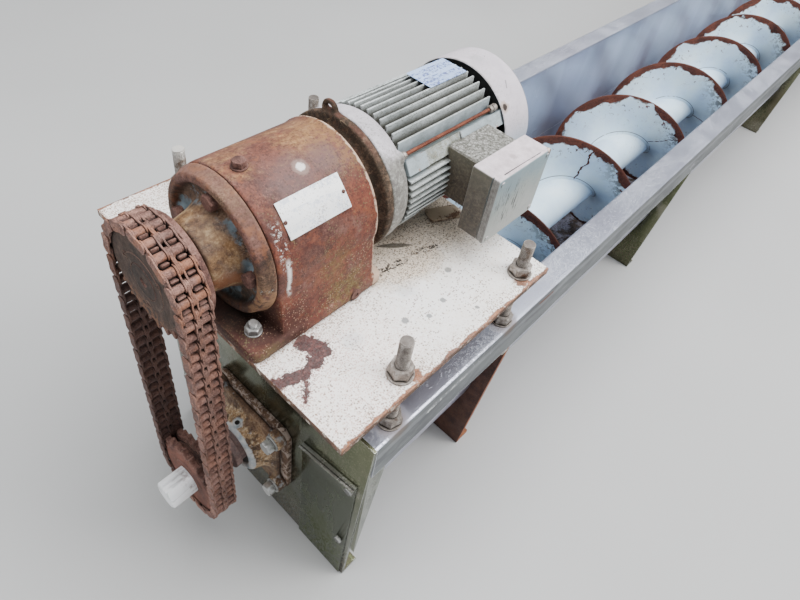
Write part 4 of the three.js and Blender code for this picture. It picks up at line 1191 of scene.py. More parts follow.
STAINLESS = stainless_finish()
DULL = dull_stainless_finish()
RUST = rusty_finish("orange_brown_rust", "rusty_steel", "orange", 7)
ROD_RUST = rusty_finish("tie_rod_rust", "rusty_steel", "red", 4, 0.2, (0.36, 0.2, 0.15), 0.6)
PLATE_RUST = rusty_finish(
    "scaled_square_plate", "rusty_steel", "brown", 2.4, 0.95, (0.46, 0.36, 0.3), 0.5)
GEARBOX_RUST = gearbox_finish()
COVER_RUST = cover_finish()
ADAPTER_MOSS = adapter_finish()
DARK_RUST = rusty_finish("dark_bolt_rust", "rusty_casting", "mauve", 4, 0.3)
CHAIN_RUST = chain_finish()
SPROCKET_MOSS = sprocket_finish()
SCREW_PAINT = screw_finish()
JOINT_RUST = rusty_finish("flight_joint_rust", "white_paint", "rim", 3, 0.1)
BRIGHT = bright_finish()
CREAM = cream_plate_finish()
SAND = rusty_finish("sandy_packing", "cream_paint", "brown", 4, 0.5, (0.45, 0.36, 0.26), 0.44)
STUD_STEEL = stud_finish()
ZINC = zinc_finish()
BEARING_PAINT = bearing_finish()
COWL_PAINT = cowl_finish()
BELL_PAINT = bell_finish()
FRAME_PAINT = frame_finish()
BOX_PAINT = box_finish("dirty_terminal_box", "motor_grey", False)
LID_PAINT = box_finish("grey_green_lid", "lilac_grey", True)
GEARBOX_PLATE = data_plate_finish("white_data_plate", (0.99, 0.99, 0.99), (0.6, 0.64, 0.72), 0.75)
MOTOR_PLATE = data_plate_finish("lilac_data_plate", (0.5, 0.67, 1.0), (0.1, 0.14, 0.4), 1.0)
GLAND = plastic_finish("gland_plastic", (0.3, 0.27, 0.21), (0.62, 0.59, 0.52))
FAN_PLASTIC = plastic_finish("dark_fan_plastic", (0.008, 0.008, 0.008), (0.03, 0.03, 0.03))


# Small fasteners

def bolt(at, towards, across, high, thread=0.0, washer=0.0, spin=0.0):
    """Hexagon head with an optional washer under it and thread end past it."""
    shape = []
    lift = 0.0
    if washer:
        shape.append(aimed(ring_washer(washer, across * 0.28, 2.2), at, towards))
        lift = 2.2
    along = np.array(Vector(towards).normalized())
    shape.append(aimed(hexagon(across, high), np.array(at) + along * lift, towards, spin))
    if thread:
        rod = threaded(across * 0.32, 1.75, thread + 2, steps=14)
        shape.append(aimed(rod, np.array(at) + along * (lift + high - 2), towards, spin))
    return shape


# Trough

def sheet_side(sign):
    """Side sheet with its rim and down-turned lip, gently dented along its length."""
    wall, top, out = TROUGH_R + SHEET / 2, RIM_Z - SHEET / 2, RIM_OUT - SHEET / 2
    line = rounded(
        [(wall, SCREW_Z + FIT), (wall, top - 60), (wall, top), (out, top), (out, RIM_Z - LIP_DEEP)],
        4.5, 5, closed=False)
    outline = ribbon(line, SHEET)
    rings = []
    start, end = DRIVE_FACE_X + END_PLATE + FIT, FAR_X - FIT
    for x in np.linspace(start, end, 188):
        ring = np.insert(outline, 0, x, axis=1)
        lip = np.clip((RIM_Z - 12 - ring[:, 2]) / 60, 0, 1) * (ring[:, 1] > out - 4)
        wave = 1.8 * wander(x / 170, sign * 4.0, 0.5) + 0.7 * wander(x / 45, sign * 9.0, 2.5)
        ring[:, 1] += lip * wave
        ring[:, 2] += lip * 1.2 * wander(x / 90, sign * 2.0, 7.5)
        share = np.clip((ring[:, 2] - SCREW_Z) / 262, 0, 1)
        panel = (ring[:, 1] < wall + 3) * np.sin(share * math.pi)
        ring[:, 1] += panel * 1.2 * wander(x / 300, sign * 3.0, 11.5)
        ring[:, 1] *= sign
        rings.append(ring)
    return Shape(loft(rings))


def trough_floor():
    angle = np.linspace(math.pi, TURN, 61)
    line = np.stack([np.cos(angle), np.sin(angle)], 1)
    outline = np.concatenate([
        line * (TROUGH_R + SHEET) + (0, SCREW_Z), (line * TROUGH_R + (0, SCREW_Z))[::-1]])
    start, end = DRIVE_FACE_X + END_PLATE + FIT, FAR_X - FIT
    return Shape(stacked([(x, outline) for x in np.linspace(start, end, 40)]))


def make_trough():
    for side, sign in (("near", -1), ("far", 1)):
        make(f"{side}_folded_side", sheet_side(sign), STAINLESS, f"{side}_side_and_rim")
        stiffener = f"{side}_corner_stiffener"
        make(f"{side}_folded_stiffener", softened(stiffener, 0.8), DULL, stiffener)
    make("rolled_trough_floor", trough_floor(), STAINLESS, "trough_floor")
    for end in ("drive", "far"):
        plate = f"{end}_end_plate"
        make(f"{end}_end_sheet", softened(plate, 1.2), DULL, plate)
    make("rusty_steel_support", softened("steel_support", 1.5), RUST, "steel_support")
    lugs = Shape()
    for sign in (-1, 1):
        at = (359, sign * 247, 388)
        lugs.add(aimed(hexagon(19, 13), at, (-1, 0, 0), 0.3))
        lugs.add(aimed(turned([(0, 7), (5, 6.5), (7, 3)], 20), (347, sign * 247, 388), (-1, 0, 0)))
    make("support_lock_nuts", cast(lugs, 1.2, 3), GLAND)
    for bay in (1, 2):
        rib = f"support_rib_{bay}"
        make(f"sheet_support_{bay}", softened(rib, 0.8), DULL, rib)
    bolts = Shape()
    for sign in (-1, 1):
        face = DRIVE_FACE_X - FIT - SHEET
        for y, z in ((235, 353), (229, 150)):
            bolts.add(*bolt((face, sign * y, z), (-1, 0, 0), 13, 6))
    make("stiffener_bolts", bolts, ZINC)


# Bearings, shafts and screw

def make_bearing(end, face, outward):
    def at(distance):
        return face + outward * distance

    towards = (outward, 0, 0)
    plate = f"{end}_bearing_plate"
    make(f"{end}_square_plate", softened(plate, 2.5, 3), PLATE_RUST, plate)
    low, high = sorted((at(10 + FIT), at(22)))
    half, seat, ear = 79, 78, 27
    foot = rectangle(-half, half, SCREW_Z - half, SCREW_Z + half, 22, 5)
    shape = Shape(slab(foot, low, high, 2))
    dome = [
        (14, 30), (14, 76), (22, 72), (28, 64), (42, 59), (48, 57), (54, 51), (54, 44), (48, 41),
        (48, 30)]
    shape.add(turned([(at(x), r) for x, r in dome], 48, looped=True, z=SCREW_Z))
    bolts = Shape()
    for y, z in ((-seat, -seat), (seat, -seat), (seat, seat), (-seat, seat)):
        boss = turned([(0, 17), (ear - 11, 16.5), (ear - 10, 15)], 24)
        shape.add(aimed(boss, (at(10.5), y, SCREW_Z + z), towards))
        bolts.add(aimed(ring_washer(15, 6.5, 2.4), (at(ear + 0.2), y, SCREW_Z + z), towards))
        bolts.add(aimed(ring_washer(11, 6.5, 2.4), (at(ear + 2.8), y, SCREW_Z + z), towards))
        head, spin = (at(ear + 5.4), y, SCREW_Z + z), chance.random()
        bolts.add(aimed(hexagon(23, 11.5), head, towards, spin))
    make(f"{end}_bearing_casting", cast(shape, 2.0), BEARING_PAINT, f"{end}_flange_bearing")
    nipple = [(0, 2.4), (0, 7.5), (3, 6.8), (4, 5.5), (4, 3), (1, 2.4)]
    grease = Shape(aimed(turned(nipple, 24, looped=True), (at(41), 0, SCREW_Z + 57.5), (0, 0, 1)))
    make(f"{end}_grease_hole", grease, BEARING_PAINT)
    make(f"{end}_bearing_bolts", bolts, ZINC)


def shaft_rings(profile, keyway):
    """Turned shaft; the keyway is (from, to, half width, floor height)."""
    steps = 96
    angle = np.arange(steps) * TURN / steps
    rings = []
    for x, r in profile:
        radius = np.full(steps, float(r))
        if keyway[0] <= x <= keyway[1]:
            inside = np.abs(r * np.cos(angle)) < keyway[2]
            inside &= np.sin(angle) > 0
            radius[inside] = keyway[3] / np.sin(angle[inside])
        rings.append(np.stack(
            [np.full(steps, float(x)), radius * np.cos(angle), radius * np.sin(angle)], 1))
    return loft(rings)


def make_shafts():
    key_end = -160
    profile = [
        (-206, 22.5), (-204.5, 24.6), (-203.5, 25), (key_end, 25), (key_end + 0.01, 25), (-90, 25),
        (-89.9, 35), (-89, 36), (-79, 36), (-78, 35), (-77.9, 31), (-62, 31), (-61.9, 25), (10, 25)]
    shaft = moved(shaft_rings(profile, (-206, key_end, 7, 19.5)), z=SCREW_Z)
    make("drive_shaft", Shape(shaft), BRIGHT, "screw_drive_shaft", body="screw")
    profile = [(-20, 25), (60, 25), (60.1, 31), (66, 31), (66.1, 25), (74, 25), (75, 24)]
    far = turned(profile, 64, z=SCREW_Z)
    make("far_shaft", Shape(moved(far, FAR_X)), BRIGHT, "screw_far_shaft", body="screw")


def flight_shell(first, last):
    """Helical plate between two steps with a slightly ragged rim."""
    fine = 3
    rings = []
    for k in range((last - first) * fine + 1):
        step = first + k / fine
        angle = TURN * step / STEPS_PER_TURN
        x = FLIGHT_ZERO_X + PITCH * step / STEPS_PER_TURN
        rim = FLIGHT_R - 0.7 + 0.7 * wander(step * 0.7, 3.1, 0.2)
        rim += 0.5 * wander(step * 2.9, 1.1, 5.2)
        lean = 2.0 * wander(step * 0.16, 8.8, 3.3)
        t = FLIGHT / 2
        section = [
            (TUBE_R - 1, -t - 5), (TUBE_R + 5, -t - 2.5), (TUBE_R + 14, -t - 0.6), (100, -t),
            (150, -t), (rim - 4, -t + 0.3), (rim - 1, -t + 1), (rim, -0.8), (rim, 0.8),
            (rim - 1, t - 1), (rim - 4, t - 0.3), (150, t), (100, t), (TUBE_R + 14, t + 0.6),
            (TUBE_R + 5, t + 2.5), (TUBE_R - 1, t + 5)]
        cos, sin = math.cos(angle), math.sin(angle)
        rings.append(np.array([
            (x + along + lean * (r - TUBE_R) / 130, r * cos, SCREW_Z + r * sin)
            for r, along in section]))
    return loft(rings)


def make_screw():
    core = [(8, TUBE_R - 5), (8, TUBE_R - 1), (9, TUBE_R)]
    core += [(x, TUBE_R) for x in range(60, 3700, 60)]
    core += [(3716, TUBE_R), (3717, TUBE_R - 1), (3717, TUBE_R - 5)]
    caps = [(7, 24), (7, TUBE_R - 4), (12, TUBE_R - 4), (12, 24)]
    shape = Shape(turned(core, 72, z=SCREW_Z))
    shape.add(turned(caps, 48, looped=True, z=SCREW_Z))
    make("painted_screw_tube", shape, SCREW_PAINT, "screw_tube", body="screw")
    seams = [
        FLIGHT_FROM_STEP + round(FLIGHT_STEPS * k / FLIGHT_SECTIONS)
        for k in range(FLIGHT_SECTIONS + 1)]
    for section in range(1, FLIGHT_SECTIONS + 1):
        make(f"painted_flight_{section}", Shape(flight_shell(seams[section - 1], seams[section])),
             SCREW_PAINT, f"flight_section_{section}", body="screw", crease=40)
    welds = Shape()
    for joint in range(-2, 7):
        turn = TURN * (1.29 + 1.12 * joint)
        bare = joint == 0
        for side in (-1, 1):
            line = []
            for r in np.linspace(TUBE_R + 4, FLIGHT_R - 4, 60):
                swing = turn + (0.035 + 0.035 * bare) * wander(r / 24, joint * 1.7, 0.4)
                swing += 0.014 * wander(r / 5, joint * 3.1, 0.8)
                x = FLIGHT_ZERO_X + PITCH * swing / TURN + side * (FLIGHT / 2 + 0.1)
                line.append((x, r * math.cos(swing), SCREW_Z + r * math.sin(swing)))
            thick = np.array([0.75 + 0.7 * wander(k / 4, joint, 2.2) for k in range(60)])
            welds.add(tube(line, thick * (1.7 + 1.3 * bare), 6))
    make("flight_joint_welds", welds, JOINT_RUST, body="screw")


# Chain and sprockets

ROLLER_R, ROLLER_WIDE, LINK_PLATE, LINK_HIGH, STRAND = 6.03, 11.9, 2.0, 16.0, 20.7
SPROCKET_HALF = 16.5
LINKS_ROUND = TEETH // 2 + 1


def chain_pins():
    """Pins of the closed chain in order, as (y, z)."""
    step = 360 / TEETH
    pins = [polar(PITCH_R, step * k, z=GEAR_Z)[1:] for k in range(LINKS_ROUND)]
    pins += [(-PITCH_R, GEAR_Z - CHAIN_PITCH * k) for k in range(1, CHAIN_CENTRES)]
    pins += [polar(PITCH_R, 180 + step * k, z=SCREW_Z)[1:] for k in range(LINKS_ROUND)]
    pins += [(PITCH_R, SCREW_Z + CHAIN_PITCH * k) for k in range(1, CHAIN_CENTRES)]
    return np.array(pins)


def link_outline():
    half, end = CHAIN_PITCH / 2, LINK_HIGH / 2
    right = [
        (half + end * math.cos(a), end * math.sin(a))
        for a in np.radians(np.linspace(-80, 80, 8))]
    left = [(-u, v) for u, v in right][::-1]
    return np.array(right + [(0, end - 1.6)] + left + [(0, -end + 1.6)])


def make_chain():
    pins = chain_pins()
    outline = link_outline()
    shape = Shape()
    inner = ROLLER_WIDE / 2 + 0.2
    outer = inner + LINK_PLATE + 0.15
    reach = STRAND / 2 + outer + LINK_PLATE
    roller = turned([(-5.95, 5.3), (-5.5, ROLLER_R), (5.5, ROLLER_R), (5.95, 5.3)], 18)
    pin = turned([(-reach - 0.7, 2), (-reach - 0.2, 2.8), (reach + 0.2, 2.8), (reach + 0.7, 2)], 12)
    for k, a in enumerate(pins):
        b = pins[(k + 1) % len(pins)]
        along = (b - a) / np.linalg.norm(b - a)
        across = np.array((-along[1], along[0]))
        middle = (a + b) / 2
        flat = outline[:, :1] * along + outline[:, 1:] * across + middle
        for strand in (-1, 1):
            centre = CHAIN_X + strand * STRAND / 2
            for side in (-1, 1):
                start = centre + side * (inner if k % 2 else outer)
                low, high = sorted((start, start + side * LINK_PLATE))
                shape.add(slab(flat, low, high, 0.35))
            shape.add(moved(roller, centre, *a))
        shape.add(moved(pin, CHAIN_X, *a))
    make("duplex_chain", shape, CHAIN_RUST, "drive_chain")


def tooth_outline(z):
    """Outline of a sprocket whose gaps fit the chain's rollers."""
    seat, tip = ROLLER_R + 0.25, 78.6
    points = []
    for k in range(TEETH):
        a = TURN * k / TEETH
        out = np.array((math.cos(a), math.sin(a)))
        side = np.array((-out[1], out[0]))
        for degrees in np.linspace(-62, 62, 7):
            b = math.radians(degrees)
            points.append(out * (PITCH_R - seat * math.cos(b)) + side * seat * math.sin(b))
        for shift, radius in ((0.37, 75.0), (0.44, 77.6), (0.5, tip), (0.56, 77.6), (0.63, 75.0)):
            c = a + TURN / TEETH * shift
            points.append(np.array((math.cos(c), math.sin(c))) * radius)
    return np.array(points) + (0, z)


def taper_bush(face, z):
    """Bush ring in a sprocket's face, with its screws in half-round pockets."""
    ring = [
        (face + 0.5, SHAFT_R + 0.2), (face - 0.6, SHAFT_R + 0.8), (face - 0.6, 38.2),
        (face + 0.5, 39)]
    shells = [turned(ring, 48, looped=True, z=z)]
    for degrees in (30, 150, 270):
        x, y, up = polar(38.6, degrees, face - 0.7, z)
        socket = turned([(0.6, 5.2), (-0.3, 4.9), (-0.3, 2.8), (2, 2.6), (2, 0.4)], 18)
        shells.append(moved(socket, x, y, up))
    return shells


def sprocket(z, collar):
    """Double sprocket about an axis at a height, with a collar behind it."""
    face, back = CHAIN_X - SPROCKET_HALF, CHAIN_X + SPROCKET_HALF
    shape = Shape()
    for strand in (-1, 1):
        centre = CHAIN_X + strand * STRAND / 2
        shape.add(slab(tooth_outline(z), centre - 5.3, centre + 5.3, 1.3))
    bore = SHAFT_R + 0.3
    web = [
        (face, bore), (face, 63.3), (face + 1, 64.3), (CHAIN_X - 3, 64.3), (CHAIN_X - 3, 60),
        (CHAIN_X + 3, 60), (CHAIN_X + 3, 64.3), (back - 1, 64.3), (back, 63.3)]
    shape.add(turned(web + collar + [(collar[-1][0], bore)], 64, looped=True, z=z))
    shape.add(*taper_bush(face, z))
    return shape


def make_sprockets():
    back = CHAIN_X + SPROCKET_HALF
    lower = sprocket(SCREW_Z, [(back, 42), (back + 21, 42), (back + 22, 41)])
    make("toothed_lower_sprocket", lower, SPROCKET_MOSS, "lower_sprocket", body="screw")
    upper = sprocket(
        GEAR_Z, [(back, 48), (-122, 48), (-122, 69), (-121, 70), (-115, 70), (-114, 69)])
    make("toothed_upper_sprocket", upper, SPROCKET_MOSS, "upper_sprocket", body="gearbox_output")
    shaft = [
        (CHAIN_X - 15.5, 5), (CHAIN_X - 17.5, 7), (CHAIN_X - 17.5, 23.6), (CHAIN_X - 16.2, SHAFT_R),
        (CASING_X[0] - 2, SHAFT_R)]
    make("output_shaft_end", Shape(turned(shaft, 48, z=GEAR_Z)), SPROCKET_MOSS,
         "gearbox_output_shaft", body="gearbox_output")


# Motor plate on its studs

def make_motor_plate():
    make("flame_cut_plate", softened("motor_plate", 1.6, 3), CREAM, "motor_plate")
    for name, (x, y, above) in STUDS.items():
        shape = Shape()
        under_rim = RIM_Z - SHEET - FIT - WASHER
        under_plate = PLATE_Z - PLATE - FIT - WASHER
        start = under_rim - NUT_HIGH - 12
        rod = threaded(STUD_R, 2.5, PLATE_Z + above - start, 1.7)
        shape.add(aimed(rod, (x, y, start), (0, 0, 1)))
        for z in (under_rim, RIM_Z + FIT, under_plate, PLATE_Z + FIT):
            shift = chance.uniform(-0.6, 0.6)
            shape.add(aimed(
                ring_washer(WASHER_R, STUD_R - 0.5, WASHER), (x + shift, y + shift, z), (0, 0, 1)))
        for z in (under_rim - NUT_HIGH, RIM_Z + FIT + WASHER,
                  under_plate - NUT_HIGH, PLATE_Z + FIT + WASHER):
            shape.add(aimed(
                hexagon(NUT_ACROSS, NUT_HIGH, STUD_R - 0.5), (x, y, z), (0, 0, 1), chance.random()))
        make(f"threaded_stud_{name}", shape, STUD_STEEL, f"stud_{name}")


# Gearbox

def make_gearbox_casting():
    base_z = PLATE_Z + FIT
    top = base_z + BASE
    x0, x1 = CASING_X
    drum = [
        (x0, 101), (x0 + 2, CASING_R), (x1 - 9, CASING_R), (x1 - 7, CASING_R + 2),
        (x1 - 1, CASING_R + 2), (x1, 101)]
    shape = Shape(turned(drum, 96, z=GEAR_Z))
    shape.add(slab([
        (-BASE_HALF + 2, base_z + 3), (BASE_HALF - 2, base_z + 3), (BASE_HALF - 5, top + 12),
        (CASING_R - 1, GEAR_Z - 20), (-CASING_R + 1, GEAR_Z - 20), (-BASE_HALF + 5, top + 12)],
        x0 + 1, x1 - 1, 2))
    shape.add(block(BASE_X, (-BASE_HALF, BASE_HALF), (base_z, top), 1.5, 14))
    for x, y in FOOT_BOLTS:
        shape.add(aimed(turned([(0, 17), (BASE + 2, 16)], 24), (x, y, base_z), (0, 0, 1)))
    make("gearbox_casting", cast(shape, 2.6), GEARBOX_RUST, "gearbox_casing")


def make_front_cover():
    joint = CASING_X[0] - FIT
    cover = [
        (joint, 26), (joint, 102), (-54, 102), (-60, 99), (-66, 97), (-69, 96), (-70, 93),
        (-70, 86), (-68, 84), (joint - 9, 80), (joint - 8, 62), (-70, 56), (-76, 54), (-90, 51),
        (-102, 48.5), (-104, 46), (-104, 38), (-98, 36), (-98, 26)]
    shape = Shape(turned(cover, 96, looped=True, z=GEAR_Z))
    for degrees in COVER_BOLTS:
        at = polar(COVER_BOLTS_R, degrees, joint - 6, GEAR_Z)
        shape.add(aimed(turned([(0, 13), (8, 11)], 20), at, (-1, 0, 0)))
    make("dished_front_cover", cast(shape, 2.0, 3), COVER_RUST, "gearbox_front_cover")
    bolts = Shape()
    for degrees in COVER_BOLTS:
        at = polar(COVER_BOLTS_R, degrees, joint - 13, GEAR_Z)
        bolts.add(*bolt(at, (-1, 0, 0), 19, 11, spin=chance.random()))
    make("cover_bolts", bolts, DARK_RUST)


def make_gearbox_plate():
    """Thin plate that follows the casing, its ends lifted a little."""
    plate = []
    start, end = 126, 151.5
    for x in (-24, 73):
        line = []
        for a in np.linspace(start, end, 13):
            lift = 1.6 * ((a - start) / (end - start) * 2 - 1) ** 2
            line.append((a, CASING_R + FIT + lift))
        outer = [polar(r + 1.1, a, x, GEAR_Z) for a, r in line]
        inner = [polar(r, a, x, GEAR_Z) for a, r in reversed(line)]
        plate.append(np.array(outer + inner))
    make("blank_gearbox_plate", Shape(loft(plate)), GEARBOX_PLATE, "gearbox_data_plate")
    rivets = Shape()
    for x, degrees in ((-21.8, 139.8), (69.5, 139.6)):
        at = polar(CASING_R + 1.2, degrees, x, GEAR_Z)
        away = np.array(polar(1, degrees))
        rivets.add(aimed(turned([(-1, 2.2), (0.8, 2.6), (1.5, 1.8), (1.9, 0.4)], 16), at, away))
    make("plate_rivets", rivets, DARK_RUST)


def make_gearbox_fasteners():
    crown = GEAR_Z + CASING_R
    plug = Shape(aimed(ring_washer(10.5, 4, 2.2), (-26, -2, crown - 0.5), (0, 0, 1)))
    plug.add(aimed(hexagon(16, 8.4), (-26, -2, crown + 1.5), (0, 0, 1), 0.2))
    make("breather_plug", plug, DARK_RUST, "gearbox_top_plug")

    base_z = PLATE_Z + FIT
    top = base_z + BASE
    feet = Shape()
    for x, y in FOOT_BOLTS[1:]:
        feet.add(*bolt((x, y, top + 1.5), (0, 0, 1), 19, 9, 8, 13, chance.random()))
    drain = turned([(0, 9), (2.5, 9), (3, 8.4), (3, 4), (1.5, 3.6)], 24)
    feet.add(aimed(drain, (77, -BASE_HALF + 1, base_z + 9), (0, -1, 0)))
    make("rusty_foot_bolts", feet, DARK_RUST)
    bright = Shape(*bolt((*FOOT_BOLTS[0], top + 1.5), (0, 0, 1), 19, 9, 7, 11.5, 0.4))
    make("new_foot_bolt", bright, ZINC)


# Motor

def make_adapter():
    body = [
        (CASING_X[1] + FIT, 30), (CASING_X[1] + FIT, 88), (126, 88), (133, 91),
        (134, ADAPTER_R - 1.5), (136, ADAPTER_R), (144, ADAPTER_R),
        (BELL_X[0] - FIT, ADAPTER_R - 1), (BELL_X[0] - FIT, 30)]
    shape = Shape(turned(body, 96, looped=True, z=GEAR_Z))
    hoop = [
        (142, 26 + 11 * math.cos(a), GEAR_Z + 105 + 11 * math.sin(a))
        for a in np.linspace(0, TURN, 25)[:-1]]
    shape.add(tube(hoop + hoop[:2], 4.2, 10))
    shape.add(slab(
        [(8, GEAR_Z + 92), (44, GEAR_Z + 90), (36, GEAR_Z + 106), (17, GEAR_Z + 106)], 138, 146, 1))
    make("flange_adapter", cast(shape, 2.2, 3), ADAPTER_MOSS, "motor_adapter")


def make_end_bell():
    bell = [
        (BELL_X[0], 30), (BELL_X[0], 103), (149, 104.5), (157, 105), (168, 104), (176, 101.5),
        (182, 98), (BELL_X[1] - FIT, 95), (BELL_X[1] - FIT, 30)]
    shape = Shape(turned(bell, 96, looped=True, z=GEAR_Z))
    for degrees in (42, 138, 222, 318):
        x, y, z = polar(96, degrees, 174, GEAR_Z)
        shape.add(moved(turned([(-6, 9.5), (10.5, 10)], 20), x, y, z))
    make("pale_end_bell", cast(shape, 2.2, 3), BELL_PAINT, "motor_end_bell")


def make_motor_details():
    """Data plate, tie rods and the packing piece that lies under the motor."""
    plate_z = GEAR_Z + FRAME_R + FIT
    shape = Shape(block((305, 392), (-14, 36), (plate_z, plate_z + 1.2), 0.3, 2))
    for x in (309, 388):
        for y in (-10, 32):
            rivet = turned([(0, 2.2), (0.7, 2), (1.3, 1), (1.4, 0.3)], 14)
            shape.add(aimed(rivet, (x, y, plate_z + 1), (0, 0, 1)))
    make("blank_motor_plate", shape, MOTOR_PLATE, "motor_data_plate")

    for side, degrees in (("near", 138), ("far", 42)):
        x, y, z = polar(97, degrees, 0, GEAR_Z)
        rod = threaded(3, 1.25, 212, 0.5, 12)
        make(f"{side}_long_bolt", Shape(moved(rod, BELL_X[1], y, z)), ROD_RUST, f"{side}_tie_rod")
        shape = Shape(moved(hexagon(10, 6), BELL_X[1] + 1, y, z))
        shape.add(moved(turned([(0, 6), (8, 6), (9, 5)], 20), FRAME_X[1] - 4, y, z))
        shape.add(moved(hexagon(11, 6), FRAME_X[1] - 11, y, z))
        make(f"{side}_long_bolt_nuts", shape, STUD_STEEL)

    packing = block((-29, 29), (-15, 15), (0, 6), 1.5, 4)
    turn = np.array(Matrix.Rotation(math.radians(-24), 3, "Z"))
    packing = moved((packing[0] @ turn.T, packing[1]), 318, -77, PLATE_Z + 0.1)
    make("packing_piece", Shape(packing), SAND)


def make_motor_frame():
    shape = Shape()
    core = [(FRAME_X[0] + 0.2, CORE_R - 3), (FRAME_X[0] + 1, CORE_R), (FRAME_X[1] - 2, CORE_R),
            (FRAME_X[1], CORE_R - 4), (PAD_END, CORE_R - 8)]
    shape.add(turned(core, 72, z=GEAR_Z))

    def fin(offset, turn, tip, root):
        high = math.sqrt(FRAME_R ** 2 - offset ** 2)
        low = math.sqrt(CORE_R ** 2 - offset ** 2) - 5
        outline = rounded([
            (offset - root, low), (offset + root, low), (offset + tip, high),
            (offset - tip, high)], 0.9, 2)
        points, faces = slab(outline, FRAME_X[0] + 1.5, FRAME_X[1] - 0.5, 0.5)
        matrix = np.array(Matrix.Rotation(math.radians(turn), 3, "X"))
        return points @ matrix.T + (0, 0, GEAR_Z), faces

    for turn in (0, 180):
        for k in range(-5, 6):
            shape.add(fin(k * 12.3, turn, 1.5, 2.4))
    for turn in (90, -90):
        for k in range(-3, 4):
            shape.add(fin(k * 10.7, turn, 1.5, 3.4))
    for angle in (PAD_ANGLE, 180 - PAD_ANGLE, 180 + PAD_ANGLE, -PAD_ANGLE):
        turn = np.array(Matrix.Rotation(math.radians(angle), 3, "X"))
        for x, out in (((FRAME_X[0] + 1, 228), 100.6), ((228, 306), 98.4), ((306, PAD_END), 100.6)):
            points, faces = slab([(70, -11), (out, -11), (out, 11), (70, 11)], *x, 0.8)
            shape.add((points @ turn.T + (0, 0, GEAR_Z), faces))
    make("finned_motor_frame", shape, FRAME_PAINT, "motor_frame")


def make_cowl():
    x0, x1 = COWL_X
    inner = COWL_R - 2.2

    def bend(radius, angle):
        return x1 - 12 + radius * math.sin(angle), COWL_R - 10 + radius * math.cos(angle)

    wall = [(x0, inner), (x0, COWL_R - 0.5), (x0 + 0.6, COWL_R)]
    wall += [bend(10, a) for a in np.linspace(0, 1.57, 6)]
    wall += [(x1 - 1, 94), (x1 - 1, 86), (x1 - 3.2, 86), (x1 - 3.2, 94)]
    wall += [bend(7.8, a) for a in np.linspace(1.57, 0, 6)]
    shape = Shape(turned(wall, 96, looped=True, z=GEAR_Z))
    for low, high in ((58, 61), (35, 38), (2, 16)):
        ring = [(x1 - 3.2, low), (x1 - 3.2, high), (x1 - 1, high), (x1 - 1, low)]
        shape.add(turned(ring, 64, looped=True, z=GEAR_Z))
    for k in range(24):
        spoke = [polar(r, 15 * k, x1 - 2.1, GEAR_Z) for r in np.linspace(12, 88, 8)]
        shape.add(tube(spoke, 1.5, 6))
    make("hollow_fan_cowl", shape, COWL_PAINT, "fan_cowl")
    fan = Shape(
        turned([(423, 20), (424, 98), (427, 98), (434, 30), (462, 24), (464, 18)], 72, z=GEAR_Z))
    for k in range(9):
        a = TURN * k / 9
        out = np.array((0, math.cos(a), math.sin(a)))
        side = np.array((0, -math.sin(a), math.cos(a)))
        centre = np.array((0, 0, GEAR_Z))
        corners = [(428, 22), (428, 84), (458, 92), (466, 88), (466, 22)]
        outline = [centre + np.array((x, 0, 0)) + out * r for x, r in corners]
        shell = loft([np.array(outline) - side * 1.3, np.array(outline) + side * 1.3])
        fan.add(shell)
    make("cooling_fan", fan, FAN_PLASTIC)


def make_terminal_box():
    (x0, x1), (y0, y1), (z0, z1) = BOX_X, BOX_Y, BOX_Z
    outline = rectangle(x0, x1, z0, z1, 5)
    waist = np.maximum(outline, (x0 + 2.2, z0))
    steps = (
        (y0, outline), (y0 + 5.5, outline), (y0 + 5.7, waist), (y0 + 7.2, waist),
        (y0 + 7.4, outline), (y1 - 0.8, outline), (y1, inset(outline, 0.8)))
    shape = Shape(stacked(steps, 1))
    neck = rectangle(x0 + 16, x1 - 16, z0 + 24, z1 - 5, 6, 3)
    shape.add(slab(neck, y1 - 1, -FRAME_R + 14, 0.5, 1))
    make("terminal_box_casting", shape, BOX_PAINT, "terminal_box")
    outline = rectangle(x0 - 1, x1 + 1, z0 - 1, z1 + 1, 6)
    front = y0 - FIT - 6
    steps = (
        (front, inset(outline, 2.6)), (front + 0.5, inset(outline, 1.2)),
        (front + 1.6, inset(outline, 0.3)), (front + 2.6, outline), (y0 - FIT - 0.4, outline),
        (y0 - FIT, inset(outline, 0.4)))
    shape = Shape(stacked(steps, 1))
    for x in (x0 + 8, x1 - 8):
        for z in (z0 + 8, z1 - 8):
            screw = turned([(0, 4.5), (1.2, 4.2), (1.6, 3), (1.0, 0.6)], 18)
            shape.add(aimed(screw, (x, y0 - FIT - 6, z), (0, -1, 0)))
    make("terminal_box_cover", shape, LID_PAINT, "terminal_box_lid")
    at = (x1 + FIT, -164, z1 - 40)
    gland = Shape(aimed(turned([(0, 13), (3, 13)], 32), at, (1, 0, 0)))
    gland.add(aimed(hexagon(24, 7), (at[0] + 3, at[1], at[2]), (1, 0, 0)))
    gland.add(aimed(
        turned([(0, 10.5), (2, 10.5), (8, 9.5), (11, 8), (11.5, 6), (9, 5.6), (9, 0.4)], 32),
        (at[0] + 10, at[1], at[2]), (1, 0, 0)))
    make("cable_gland_body", gland, GLAND, "cable_gland")


# Camera, floor and light

def look_from(place, azimuth, elevation, roll):
    """Camera matrix from its place and the angles in which it looks."""
    forward = Vector((
        math.cos(elevation) * math.cos(azimuth), math.cos(elevation) * math.sin(azimuth),
        math.sin(elevation)))
    level = Vector((forward.y, -forward.x, 0)).normalized()
    upright = level.cross(forward)
    right = level * math.cos(roll) + upright * math.sin(roll)
    up = right.cross(forward)
    matrix = Matrix((right, up, -forward)).transposed().to_4x4()
    matrix.translation = place
    return matrix


